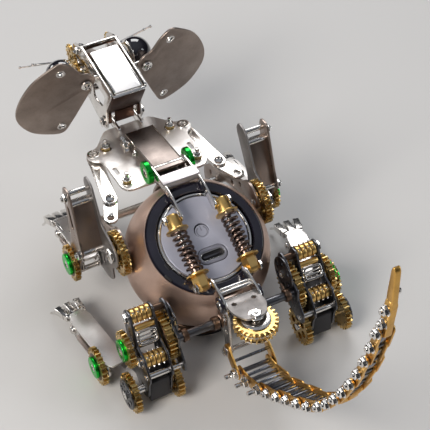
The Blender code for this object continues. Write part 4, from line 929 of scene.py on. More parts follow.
def coil(start, end):
    shape = bmesh.new()
    bmesh.ops.create_circle(shape, segments=10, radius=COIL_WIRE, cap_ends=False)
    shape.transform(Matrix.Translation((COIL_RADIUS, 0, start)) @ Matrix.Rotation(math.pi / 2, 4, "X"))
    steps = COIL_TURNS * 20
    bmesh.ops.spin(shape, geom=shape.verts[:] + shape.edges[:], cent=(0, 0, 0), axis=(0, 0, 1),
                   dvec=(0, 0, (end - start) / steps), angle=2 * math.pi * COIL_TURNS, steps=steps,
                   use_merge=False)
    bmesh.ops.holes_fill(shape, edges=[edge for edge in shape.edges if edge.is_boundary], sides=10)
    return outward(shape)


def strut(kit):
    along = (STRUT_BOTTOM - STRUT_TOP).normalized()
    place = plane((STRUT_SPREAD, STRUT_TOP.y, STRUT_TOP.z), (1, 0, 0), along.cross(Vector((1, 0, 0))))
    far = STRUT_LENGTH
    cup = [(0, -1.6), (1.5, -1.6), (2.3, -1.2), (2.6, -0.5), (2.6, 3.6), (2.45, 3.75), (2.45, 3.9),
           (3.9, 3.9),
           (4.0, 4.05), (4.0, 4.4), (3.9, 4.5), (0.9, 4.5), (0.9, far * 0.6), (0, far * 0.6)]
    kit.add("upper_cup", "satin_brass", at(turned(cup[:-3] + [(0, 4.5)], 40), place))
    kit.add("piston", "nickel", at(turned([(0, 4.4), (0.9, 4.4), (0.9, far * 0.58), (0, far * 0.6)], 20),
                                   place))
    sleeve = [(1.25, far * 0.46), (1.7, far * 0.46), (1.7, far - 4.4), (1.25, far - 4.4)]
    kit.add("sleeve", "spring_steel", at(turned(sleeve, 24, 0.1, closed=True), place))
    flange = turned([(0, far - 4.5), (3.9, far - 4.5), (4.0, far - 4.4), (4.0, far - 4.0), (3.9, far - 3.9),
                     (0, far - 3.9)], 40)
    hexagon = turned([(0, far - 3.95), (2.55, far - 3.95), (2.75, far - 3.5), (2.75, far + 0.3),
                      (2.5, far + 0.75), (1.5, far + 1.6), (0, far + 1.6)], 6)
    kit.add("lower_cup", "satin_brass", at(flange, place), at(hexagon, place))


def strut_coil(kit):
    along = (STRUT_BOTTOM - STRUT_TOP).normalized()
    place = plane((STRUT_SPREAD, STRUT_TOP.y, STRUT_TOP.z), (1, 0, 0), along.cross(Vector((1, 0, 0))))
    gap = COIL_WIRE + 0.12
    kit.add("coil", "spring_steel", at(coil(4.5 + gap, STRUT_LENGTH - 4.5 - gap), place))


both_sides(strut, "strut", "root", "strut_upper", "strut_lower")
both_sides(strut_coil, "strut_spring", "root", "strut_spring")

# %% [markdown]
# ## Yoke over the ball
# Two arched arms carry the struts' upper bolts and meet under a folded bridge plate.
# Green anodised rings sit on the pivot bolt between the arms and the neck box.

# %% Yoke
YOKE_HALF = 6.6
neck_low, neck_high = corners("neck_box")
YOKE_PIVOT = Vector((0, neck_low.y + 2.3, neck_high.z - 1.45))
CREST = MIDDLE + BALL_RADIUS
SHEET = 0.8


def bolt_end(kit, point, x, radius=1.7, height=1.3, stud=0.9, stud_height=0.8):
    """A washer and a nut on a screw end that points to the mouse's side at x."""
    place = side_plane(x, point)
    raised_nut = at(nut(radius, height, stud, stud_height), (0, 0, 0.3))
    kit.add("nuts", "nickel", at(group(washer(radius * 1.25, 0.3, 0.3), raised_nut), place))


def side_screw(kit, point, x, radius=1.8, height=0.9):
    """A cross-head screw on a plate that faces sideways at x."""
    place = side_plane(x, point) @ Matrix.Rotation(0.5, 4, "Z")
    kit.add("screws", "nickel", at(screw_head(radius, height), place))
    # A black cross of painted shade stands for the screw's cut.
    kit.add("screw_cut_shade", "matt_black", at(cross_cut_shade(radius, height), place))


def yoke(kit):
    eye = STRUT_TOP
    pin = YOKE_PIVOT
    outline = [(eye.y - 1.7, eye.z + 1.5), (eye.y + 5.6, CREST - 0.2), (eye.y + 11.0, CREST + 0.5),
               (eye.y + 15.8, CREST + 0.5), (pin.y + 0.2, pin.z + 2.6), (pin.y + 2.6, pin.z + 0.6),
               (pin.y + 1.6, pin.z - 2.2), (pin.y - 1.4, pin.z - 2.5), (eye.y + 16.4, CREST - 2.9),
               (eye.y + 11.0, CREST - 2.6), (eye.y + 6.4, CREST - 3.5), (eye.y + 0.8, eye.z - 1.8),
               (eye.y - 1.7, eye.z - 1.4)]
    holes = [round_loop((eye.y + 8.6, CREST - 1.5), 0.6, 12)]
    arm = sheet(rounded(outline, 1.2), SHEET, holes, 0.16)
    kit.add("arm", "nickel", at(arm, side_plane(YOKE_HALF - SHEET / 2)))
    kit.add("strut_bolt", "nickel", across(eye, YOKE_HALF - 0.5, STRUT_SPREAD + 2.9, 0.9),
            across(eye, YOKE_HALF, YOKE_HALF + 0.5, 1.5, 6))
    bolt_end(kit, eye, STRUT_SPREAD + 2.2, 1.5, 0.9, 0.7, 0.1)
    kit.add("pivot_bolt", "nickel", across(pin, 0, YOKE_HALF + 2.2, 1.3))
    washer_profile = [(1.9, 0), (3.9, 0), (4.1, 0.25), (4.1, 1.65), (3.9, 1.9), (1.9, 1.9)]
    kit.add("pivot_ring", "green",
            at(turned(washer_profile, 48, 0.2, closed=True), side_plane(YOKE_HALF + 0.25, pin)))
    side_screw(kit, pin, YOKE_HALF + 1.5, 2.0, 0.8)


def yoke_bridge():
    kit = Kit("yoke_bridge", "root", ["spring_yoke"])
    rear, front = STRUT_TOP.y + 11.2, STRUT_TOP.y + 15.9
    half = YOKE_HALF + 0.3
    kit.add("plate", "brushed_long", block((-half, rear, CREST + 0.15), (half, front, CREST + 0.9), 0.2, 3))
    kit.add("lip", "brushed", block((-half + 0.9, rear - 0.1, CREST - 1.4),
                                    (half - 0.9, rear + 0.5, CREST + 0.3), 0.15),
            block((-half + 0.9, rear + 1.6, CREST - 2.0), (half - 0.9, rear + 2.1, CREST + 0.2), 0.1))
    return kit.hand_over()


both_sides(yoke, "yoke", "root")
yoke_bridge()

# %% [markdown]
# ## Rear frame
# Behind the ball two side plates carry the struts' lower bolts, a bright bracket plate
# over the hip gear, the cross bars and the tail's first pin. Black washers sit under
# the screws that hold the plates.

# %% Rear frame
BACK = -BALL_RADIUS
REAR_BAR = Vector((0, BACK - 4.0, MIDDLE - 3.0))


def rear_arm(kit):
    eye = STRUT_BOTTOM - Vector((0, BACK, MIDDLE))
    outline = [(eye.y + 1.7, eye.z + 1.3), (eye.y + 1.2, eye.z - 1.3), (-5.5, 5.6), (-6.5, 0.2),
               (-2.6, -0.4),
               (-2.0, -2.6), (-2.8, -4.8), (-7.7, -5.2), (-8.9, -10.6), (-11.3, -12.0), (-13.5, -9.6),
               (-12.1, -3.0), (-10.3, 8.6), (-7.9, 10.8), (eye.y - 0.9, eye.z + 2.3)]
    holes = [round_loop((-8.7, 3.6), 0.9, 12), round_loop((-9.6, -2.2), 0.8, 12)]
    arm = sheet(rounded(outline, 1.2), SHEET, holes, 0.16)
    kit.add("arm", "nickel", at(arm, side_plane(YOKE_HALF - SHEET / 2, (0, BACK, MIDDLE))))
    kit.add("strut_bolt", "nickel", across(STRUT_BOTTOM, YOKE_HALF - 0.5, STRUT_SPREAD + 2.9, 0.9))
    bolt_end(kit, STRUT_BOTTOM, STRUT_SPREAD + 2.2, 1.5, 0.9, 0.7, 0.1)
    knee = Vector((0, BACK - 6.4, MIDDLE + 7.9))
    kit.add("knee_washer", "gloss_black", at(ring(1.5, 2.6, 0.9, 32), side_plane(YOKE_HALF + 0.1, knee)))
    side_screw(kit, knee, YOKE_HALF + 0.7, 1.7, 0.9)
    kit.add("cross_bar", "dark_steel", across(REAR_BAR, 0, corners("hind_cage_right")[0].x + 0.4, 1.5, 24))
    kit.add("bar_collar", "dark_bronze", across(REAR_BAR, YOKE_HALF + 0.3, YOKE_HALF + 2.4, 2.3, 24, 0.3))
    kit.add("bar_collar", "dark_bronze", across(REAR_BAR, 18.2, 20.2, 2.3, 24, 0.3))
    bolt_end(kit, TAIL[0], YOKE_HALF + 1.05, 1.5, 0.8, 0.8, 0.2)


def rear_bracket():
    kit = Kit("rear_bracket", "root", ["rear_frame"])
    slope = Vector((0, -1, 0.2)).normalized()
    place = plane((0, BACK - 6.2, MIDDLE + 8.6), (-1, 0, 0), slope)
    half = YOKE_HALF - 0.3
    outline = [(-half, 0), (half, 0), (half, 7.5), (4.0, 12.6), (0, 13.8), (-4.0, 12.6), (-half, 7.5)]
    holes = [round_loop((-3.6, 3.4), 0.8, 14), round_loop((3.6, 3.4), 0.8, 14)]
    kit.add("plate", "grey_plate", at(sheet(rounded(outline, 1.6), 0.9, holes, 0.2, 3), place))
    kit.add("lip", "nickel", at(block((-half, -0.5, -1.6), (half, 0.3, 0.4), 0.15), place))
    bars = [Vector((0, BACK - 2.4, MIDDLE + 10.0)), Vector((0, BACK - 4.0, MIDDLE + 10.2))]
    kit.add("bars", "nickel", *[across(point, -YOKE_HALF + SHEET, YOKE_HALF - SHEET, 0.65,
                                       16) for point in bars])
    kit.add("hip_bolt", "nickel", bar(HIP + Vector((0, 0, -4.0)), HIP + Vector((0, 0, 6.2)), 1.2),
            at(group(washer(2.6, 0.3, 0.3), at(nut(2.0, 1.1, 0.9, 0.2), (0, 0, 0.3))),
               Matrix.Translation(HIP + Vector((0, 0, 5.75)))),
            at(nut(2.0, 1.0, 0.6, 0.1), Matrix.Translation(HIP + Vector((0, 0, -4.0)))))
    kit.add("tail_pin", "nickel", across(TAIL[0], -YOKE_HALF - 1.2, YOKE_HALF + 1.2, 0.9, 16))
    return kit.hand_over()


both_sides(rear_arm, "rear_arm", "root")
rear_bracket()


# %% Hip gear
def hip_gear():
    kit = Kit("hip_gear", "hip_gear", ["hip_gear"])
    for height, phase in ((0.75, 0.0), (2.95, math.pi / 25)):
        kit.add("gears", "brass", at(gear(25, 1.6, 1.65, 8, phase),
                                     Matrix.Translation(HIP + Vector((0, 0, height)))))
    hub_profile = [(1.65, -1.5), (5.7, -1.5), (5.7, 3.6), (1.65, 3.6)]
    kit.add("hub", "dark_bronze", at(turned(hub_profile, 40, 0.2, True), Matrix.Translation(HIP)))
    kit.add("plates", "nickel", at(washer(6.9, 0.45, 1.7), Matrix.Translation(HIP + Vector((0, 0, 1.62)))),
            at(washer(6.3, 0.6, 1.7), Matrix.Translation(HIP + Vector((0, 0, -1.55)))),
            at(washer(5.0, 0.35, 1.7), Matrix.Translation(HIP + Vector((0, 0, 3.8)))))
    return kit.hand_over()


hip_gear()

# %% [markdown]
# ## Neck
# The neck plate is the brightest sheet of the mouse, satin nickel painted near white
# as a painted highlight: an outline with two rounded lugs and four upright bolts. The
# neck box is a folded cover on it, made from a cube whose open sides are deleted before
# the walls get their thickness.

# %% Neck plate
NECK_MIDDLE = Vector((0, BALL_RADIUS + 21.1, MIDDLE + 15.05))
NECK_SLOPE = -0.088
PLATE = 0.9


def neck_height(y):
    return NECK_MIDDLE.z + NECK_SLOPE * (y - NECK_MIDDLE.y)


def upright_bolt(kit, place):
    kit.add("washers", "nickel", at(washer(2.1, 0.3), place))
    kit.add("brass_nuts", "brass", at(turned([(0, 0), (1.75, 0), (1.75, 1.0), (1.5, 1.2), (0, 1.2)], 6),
                                      place @ Matrix.Translation((0, 0, 0.3))))
    top = at(group(washer(1.7, 0.25), at(nut(1.3, 0.9, 0.75, 1.5), (0, 0, 0.25))), (0, 0, 1.5))
    kit.add("nuts", "nickel", at(top, place))


def neck_plate():
    kit = Kit("neck_plate", "root", ["neck_plate"])
    place = plane(NECK_MIDDLE, (1, 0, 0), (0, 1, NECK_SLOPE))
    half = [(9.0, 10.4), (13.5, 4.6), (15.6, 2.2), (19.0, 2.2), (20.4, -0.6), (19.6, -3.2), (17.0, -5.0),
            (16.5, -7.4), (16.5, -22.4), (14.4, -25.0)]
    outline = half + [(-x, y) for x, y in reversed(half)]
    holes = [round_loop((side * 17.6, -0.4), 1.15, 20) for side in (-1, 1)]
    holes += [slot((side * 14.4, -13.0), 4.2, 1.3, math.pi / 2) for side in (-1, 1)]
    # The sheet's satin colour is raised towards white as a painted highlight.
    kit.add("sheet", "satin_with_painted_highlight", at(sheet(rounded(outline, 2.0), PLATE, holes, 0.2, 3), place))
    for x, y in ((12.6, 0.0), (13.5, -20.6)):
        for side in (-1, 1):
            upright_bolt(kit, place @ Matrix.Translation((side * x, y, PLATE / 2)))
    reach = HEAD_PIVOT - NECK_MIDDLE
    lug = [(6.0, -1.0), (6.0, 1.9), (reach.y, reach.z + 2.0), (reach.y + 1.9, reach.z + 0.6),
           (reach.y + 1.6, reach.z - 1.5), (reach.y - 1.0, reach.z - 2.1)]
    for x in (4.4, -4.4):
        kit.add("lugs", "nickel", at(sheet(rounded(lug, 0.9), SHEET, (), 0.15), side_plane(x, NECK_MIDDLE)))
    kit.add("pivot", "nickel", across(HEAD_PIVOT, -8.2, 8.2, 1.3))
    for side in (-1, 1):
        kit.add("lug_rings", "nickel", at(ring(1.75, 1.1, 0.35, 28),
                                          place @ Matrix.Translation((side * 17.6, -0.4, PLATE / 2 - 0.1))))
    return kit.hand_over()


# %% Neck box
def neck_box():
    kit = Kit("neck_box", "root", ["neck_box"])
    rear, front = neck_low.y, neck_high.y
    half = neck_high.x
    foot = PLATE / 2 + 0.4
    shape = bmesh.new()
    bmesh.ops.create_cube(shape, size=1)
    keep = [face for face in shape.faces if abs(face.normal.x) > 0.5 or face.normal.z > 0.5]
    bmesh.ops.delete(shape, geom=[face for face in shape.faces if face not in keep], context="FACES")
    for vertex in shape.verts:
        at_rear = vertex.co.y < 0
        y = rear if at_rear else front
        top = YOKE_PIVOT.z + 1.45 if at_rear else YOKE_PIVOT.z - 2.5
        z = top if vertex.co.z > 0 else neck_height(y) + foot
        vertex.co = Vector((math.copysign(half, vertex.co.x), y, z))
    bmesh.ops.solidify(shape, geom=shape.faces[:], thickness=0.7)
    outward(shape)
    kit.add("cover", "dark_satin", soften(shape, 0.22, 3))
    for side in (-1, 1):
        rail = bar((side * (half - 0.28), rear + 0.4, YOKE_PIVOT.z + 1.42),
                   (side * (half - 0.28), front - 0.3, YOKE_PIVOT.z - 2.42), 0.24, 10, 0)
        kit.add("rails", "nickel", rail)
    for share in (0.62, 0.84):
        y = rear + (front - rear) * share
        point = Vector((0, y, YOKE_PIVOT.z + 1.45 - 3.95 * share - 2.6))
        place = side_plane(-half, point) @ Matrix.Rotation(math.pi, 4, "X")
        kit.add("nuts", "nickel", at(nut(1.2, 0.9, 0.6, 0.7), place))
        kit.add("nuts", "nickel", at(nut(1.2, 0.9, 0.6, 0.3), side_plane(half, point)))
    tip = Vector((0, front - 4.2, YOKE_PIVOT.z - 3.4))
    kit.add("pinion", "nickel", at(gear(9, 1.3, 0.7, 0), side_plane(-half - 2.0, tip)),
            across(tip, -half - 3.0, -half, 0.8, 14))
    kit.add("block", "dark_steel", block((-half + 1.0, front - 4.5, neck_height(front) + 1.4),
                                         (half - 1.0, front - 1.2, YOKE_PIVOT.z - 3.6), 0.3))
    return kit.hand_over()


neck_plate()
neck_box()

# %% [markdown]
# ## Arms and shoulder gears
# Dog-bone links join the neck plate to the tapered bronze arms beside the ball, and a
# thick double gear turns on each shoulder bolt.

# %% Links, arms and shoulder gears
ARM_INSIDE = BALL_RADIUS - 0.9
ARM_OUTSIDE = ARM_INSIDE + PLATE
FRONT = BALL_RADIUS
FRONT_AXLE = Vector((0, FRONT + 6.8, MIDDLE - 3.5))
FORE_LEG_X = pivot("fore_leg_right_swing").x


def link_arm(kit):
    top = neck_height(NECK_MIDDLE.y) - PLATE / 2 - 0.45
    lug = (17.6, NECK_MIDDLE.y - 0.4)
    knee = (BALL_RADIUS - 4.4, FRONT - 0.9)
    end = (ARM_INSIDE - 0.2, FRONT - 8.8)
    long_link = sheet(capsule(lug, knee, 2.6, 2.6, 12), PLATE, [round_loop(lug, 1.2)], 0.2, 3)
    short_link = sheet(capsule(knee, end, 2.6, 2.4, 12), PLATE, [round_loop(end, 1.2)], 0.2, 3)
    kit.add("links", "nickel", at(long_link, (0, 0, top - PLATE / 2)),
            at(short_link, (0, 0, top - 1.5 * PLATE)))
    rivet = turned([(0, -2.4), (1.6, -2.4), (1.6, -2.0), (0.9, -2.0), (0.9, 0), (1.7, 0), (1.6, 0.5),
                    (1.0, 0.85), (0, 0.95)], 24)
    kit.add("rivets", "nickel", at(rivet, (*knee, top)))
    # A black disc on the rivet's top: painted shade for its hole.
    kit.add("rivet_hole_shade", "matt_black",
            at(turned([(0, 0.8), (0.5, 0.8), (0.5, 1.0), (0, 1.0)], 12), (*knee, top)))


def shoulder_arm(kit):
    outline = [(-17.0, 15.0), (-13.6, 13.8), (-11.8, 11.6), (1.5, 6.0), (16.1, -3.1), (18.7, -6.5),
               (18.1, -11.6),
               (14.9, -13.4), (11.9, -9.6), (0.2, 1.2), (-19.1, 6.2), (-23.3, 7.6), (-24.5, 10.6),
               (-21.9, 14.0)]
    holes = [round_loop((-4.7, 6.4 - 1.7), 1.3), round_loop((-10.6, 9.0), 1.0, 14),
             round_loop((12.6, -4.6), 1.1, 14)]
    place = side_plane(ARM_INSIDE + PLATE / 2, (0, FRONT, MIDDLE))
    kit.add("plate", "bronze_plate", at(sheet(rounded(outline, 2.2), PLATE, holes, 0.18, 3), place))
    face = FORE_LEG_X + SHEET
    kit.add("bolt", "nickel", across(SHOULDER, ARM_INSIDE - 0.2, face + 0.3, 1.7, 24))
    kit.add("bolt", "nickel", at(nut(2.8, 1.3, 1.1, 0.3), side_plane(face + 0.15, SHOULDER)))
    for point in (FRONT_AXLE, Vector((0, FRONT - 22.0, MIDDLE + 10.6))):
        bolt_end(kit, point, ARM_OUTSIDE - 0.1, 1.5, 0.8, 0.7, 0.2)


def shoulder_gear(kit):
    for x, phase in ((ARM_OUTSIDE + 0.95, 0.0), (ARM_OUTSIDE + 2.25, math.pi / 27)):
        kit.add("teeth", "brass", at(gear(27, 1.15, 2.1, 6, phase), side_plane(x, SHOULDER)))
    disc_profile = [(2.1, 0), (6.4, 0), (6.6, 0.15), (6.6, 0.3), (2.1, 0.3)]
    kit.add("disc", "nickel",
            at(turned(disc_profile, 48, closed=True), side_plane(ARM_OUTSIDE + 1.45, SHOULDER)))
    kit.add("hub", "satin_brass", at(turned([(2.1, 0), (3.4, 0), (3.4, 2.5), (2.1, 2.5)], 32, 0.12, True),
                                     side_plane(ARM_OUTSIDE + 0.35, SHOULDER)))


both_sides(link_arm, "link_arm", "root", "link_arm")
both_sides(shoulder_arm, "shoulder_arm", "root", "shoulder_arm")
both_sides(shoulder_gear, "shoulder_gear", "shoulder_gear", "shoulder_gear")

# %% [markdown]
# ## Fore legs
# A fore leg is two upright plates with two bars and a dark panel between them. It
# swings on the shoulder bolt, and carries its paw and an outer gear on the ankle axle.

# %% Fore legs
FORE_OUTER_X = corners("fore_leg_right")[1].x - 2.0
LEG_BAR_HIGH = SHOULDER + Vector((0, 17.0, 15.8))
LEG_BAR_LOW = SHOULDER + Vector((0, 8.4, -3.6))


def fore_leg(kit):
    inner = [(15.2, 19.5), (20.4, 19.9), (21.8, 16.6), (12.8, 0.6), (13.0, -8.0), (17.6, -10.0),
             (18.4, -13.8),
             (15.8, -16.4), (12.0, -16.0), (4.0, -15.0), (0.4, -12.4), (1.0, -7.4), (-4.0, -2.2),
             (-4.2, 2.0),
             (-1.2, 4.8), (3.4, 5.2), (8.2, 6.6)]
    outer = [(14.8, 19.6), (19.8, 19.2), (20.2, 15.6), (16.2, 0.6), (18.4, -11.2), (18.2, -15.0),
             (14.8, -16.8),
             (11.2, -16.5), (10.2, -11.4), (8.2, -5.4), (6.0, -2.4), (8.6, 1.6)]
    ankle = FORE_ANKLE - SHOULDER
    ankle_hole = round_loop((ankle.y, ankle.z), 1.6)
    windows = [slot((14.6, 8.5), 9.0, 2.2, 1.16), slot((7.2, -8.6), 5.0, 1.8, 1.9)]
    kit.add("inner_plate", "grey_plate",
            at(sheet(rounded(inner, 1.6), SHEET, [round_loop((0, 0), 2.0), ankle_hole, windows[1]], 0.16,
                     3),
               side_plane(FORE_LEG_X + SHEET / 2, SHOULDER)))
    kit.add("outer_plate", "bronze_plate",
            at(sheet(rounded(outer, 1.6), SHEET, [ankle_hole, windows[0]], 0.16, 3),
               side_plane(FORE_OUTER_X + SHEET / 2, SHOULDER)))
    inside = FORE_LEG_X + SHEET
    along = (LEG_BAR_HIGH - LEG_BAR_LOW).normalized()
    spread = Vector((0, -along.z, along.y)) * 0.9
    extra = [SHOULDER + Vector((0, *place)) for place in ((11.6, -6.4), (12.2, -14.9))]
    for point in (LEG_BAR_HIGH + along * 1.3, LEG_BAR_HIGH - along * 2.6 + spread, LEG_BAR_LOW, *extra):
        kit.add("bars", "nickel", across(point, inside - 0.2, FORE_OUTER_X + 0.2, 0.95, 20))
    for point in (LEG_BAR_HIGH, LEG_BAR_LOW):
        bolt_end(kit, point, FORE_OUTER_X + SHEET - 0.05, 1.6, 1.0, 0.8, 0.7)
    length = (LEG_BAR_HIGH - LEG_BAR_LOW).length
    place = plane((inside - 0.2, LEG_BAR_LOW.y, LEG_BAR_LOW.z), (1, 0, 0), LEG_BAR_HIGH - LEG_BAR_LOW)
    width = FORE_OUTER_X - inside + 0.4
    kit.add("panel", "brown_plate", at(block((0, 0.6, -0.4), (width, length - 1.2, 0.4), 0.15), place))
    kit.add("panel_edges", "nickel", *[at(block((0.2, y, -0.5), (width - 0.2, y + 0.5, 0.55), 0.15), place)
                                       for y in (0.5, length - 1.6)])


def axle_end(kit, point, face):
    """The green ring and cross-head screw on the outer end of an axle."""
    kit.add("ring", "green", at(ring(2.65, 2.5, 1.25, 40), side_plane(face, point)))
    kit.add("ring_seat", "nickel", at(washer(1.9, 0.9, 0.3), side_plane(face, point)))
    side_screw(kit, point, face + 0.75, 1.5, 0.7)


def fore_gear(kit):
    x = corners("fore_gear_right")[1].x - 3.2
    kit.add("teeth", "brass", at(gear(22, 1.8, 1.3, 6), side_plane(x + 0.9, FORE_ANKLE)))
    kit.add("hub", "dark_bronze", at(turned([(0, 0), (4.7, 0), (4.7, 1.9), (0, 1.9)], 32, 0.1),
                                    side_plane(x - 0.05, FORE_ANKLE)))
    kit.add("axle", "nickel", across(FORE_ANKLE, FORE_LEG_X - 0.6, x + 1.6, 1.2))
    axle_end(kit, FORE_ANKLE, x + 1.8)


both_sides(fore_leg, "fore_leg", "fore_leg", "fore_leg")
both_sides(fore_gear, "fore_gear", "fore_paw", "fore_gear")

# %% [markdown]
# ## Paws
# A paw is a folded channel with a satin top, painted near white as a painted highlight,
# and bright fold lines, a bolt through its walls, and three toes. Each toe is a folded
# knuckle with a thin claw, and a dark band of painted shade in its fold. The same
# function makes the fore and the hind paws in the frame of their ankle.

# %% Paws
PAW_LENGTH = 24.0


def toe(kit, place):
    """One toe from its root on the channel's edge, forward and down."""
    knuckle = place @ Matrix.Rotation(math.radians(-12), 4, "X")
    kit.add("knuckles", "nickel", at(block((-1.3, 0.2, -1.9), (1.3, 7.4, 0.75), 0.38, 3), knuckle),
            at(block((-0.95, -1.3, 0.1), (0.95, 0.9, 0.8), 0.2), knuckle))
    # A dark band round the knuckle: painted shade in its fold.
    kit.add("knuckle_fold_shade", "dark_steel", at(block((-1.34, 2.1, -1.5), (1.34, 2.4, 0.78), 0.05), knuckle))
    claw = place @ Matrix.Translation((0, 6.6, -3.0)) @ Matrix.Rotation(math.radians(-42), 4, "X")
    kit.add("claws", "nickel", at(block((-0.6, -0.8, -0.35), (0.6, 6.2, 0.35), 0.3, 3), claw))


def paw(kit, width, place, slots):
    half = width / 2
    top = [(-half, -3.0), (-half + 1.6, -4.6), (half - 1.6, -4.6), (half, -3.0), (half, PAW_LENGTH - 3.5),
           (half - 1.3, PAW_LENGTH), (-half + 1.3, PAW_LENGTH), (-half, PAW_LENGTH - 3.5)]
    holes = [slot((0, y), 5.0, 1.5, math.pi / 2) for y in slots]
    # The paw's top is satin nickel raised towards white as a painted highlight, brighter than its walls.
    kit.add("top", "satin_with_painted_highlight", at(sheet(rounded(top, 0.8), SHEET, holes, 0.18, 3),
                                 place @ Matrix.Translation((0, 0, 2.9 - SHEET / 2))))
    wall = [(-4.6, 2.3), (PAW_LENGTH - 2.8, 2.3), (PAW_LENGTH - 2.0, -0.6), (17.0, -3.5), (-2.6, -3.6),
            (-4.6, -1.8)]
    holes = [round_loop((0, 0), 1.9), slot((9.5, -1.0), 6.0, 1.5)]
    for x in (half - SHEET / 2, -half + SHEET / 2):
        kit.add("walls", "nickel", at(sheet(rounded(wall, 1.2), SHEET, holes, 0.14), place @ side_plane(x)))
        kit.add("folds", "nickel", at(bar((x, -2.8, 2.42), (x, PAW_LENGTH - 3.6, 2.42), 0.45, 14, 0.1),
                                      place))
    for side in (-1, 1):
        facing_out = Matrix.Rotation(0 if side > 0 else math.pi, 4, "X")
        spot = side_plane(side * half, (0, 19.4, -0.1)) @ facing_out
        bolt = group(washer(1.7, 0.25, 0.2), at(screw_head(1.45, 0.9), (0, 0, 0.2)))
        kit.add("bolts", "nickel", at(bolt, place @ spot))
    for height in (1.1, -0.3):
        edge_rod = bar((half + 0.55, 4.8, height), (half + 0.55, 15.4, height), 0.42, 12)
        kit.add("rods", "bronze_plate", at(edge_rod, place))
    for splay, shift in ((-9, -1.0), (0, 0), (9, 1.0)):
        root = Matrix.Translation((shift * (half - 1.15), PAW_LENGTH - 0.4, 1.9)) \
            @ Matrix.Rotation(math.radians(-splay), 4, "Z")
        toe(kit, place @ root)


def fore_paw(kit):
    x = pivot("fore_paw_right_swing").x
    place = Matrix.Translation((x, FORE_ANKLE.y, FORE_ANKLE.z)) @ Matrix.Rotation(math.radians(-11), 4, "X")
    paw(kit, 6.8, place, (12.0,))
    kit.add("stays", "nickel", *[at(bar((side * 2.2, 15.0, 2.6), (side * 2.2, 21.5, 2.6), 0.4, 12), place)
                                 for side in (-1, 1)])


def hind_foot(kit):
    x = pivot("hind_foot_right_swing").x
    place = Matrix.Translation((x, HIND_ANKLE.y, HIND_ANKLE.z)) @ Matrix.Rotation(math.radians(-7), 4, "Z")
    paw(kit, 7.6, place, ())


both_sides(fore_paw, "fore_paw", "fore_paw", "fore_paw")
both_sides(hind_foot, "hind_foot", "hind_foot", "hind_foot")

# %% [markdown]
# ## Hind legs
# Each hind cage holds two stacks of brass rollers, a bright wire loop and a black heel
# block between its plates. The large gear turns with the outer gear on the cage's
# axle, and drives the heel wheel. A dark perforated disc closes the inner side.

# %% Hind cage
CAGE_INNER_X = corners("hind_cage_right")[0].x + 0.6
HIND_GEAR_X = pivot("hind_gear_right_spin").x
HEEL_OUTER_X = pivot("heel_wheel_right_spin").x
CORE_INNER_X = HIND_GEAR_X + 3.5
CORE_OUTER_X = CORE_INNER_X + 8.2


def roller_stack(kit, point, start, end):
    """A stack of brass rollers with dark gaps, a washer and a hex nut at its outer end."""
    count = 4
    step = (end - start) / count
    for k in range(count):
        roller_start = start + k * step + 0.16
        roller_end = start + (k + 1) * step - 0.16
        kit.add("rollers", "satin_brass", across(point, roller_start, roller_end, 2.6, 28, 0.2))
        spoke_x = start + (k + 0.5) * step
        kit.add("spokes", "nickel",
                *[bar(point + Vector((spoke_x, 2.1 * math.cos(a), 2.1 * math.sin(a))),
                      point + Vector((spoke_x, 3.0 * math.cos(a), 3.0 * math.sin(a))), 0.3, 8, 0)
                  for a in (0.4, 2.0, 3.6, 5.2)])
    kit.add("roller_cores", "dark_bronze", across(point, start - 0.3, end + 0.2, 2.1, 20))


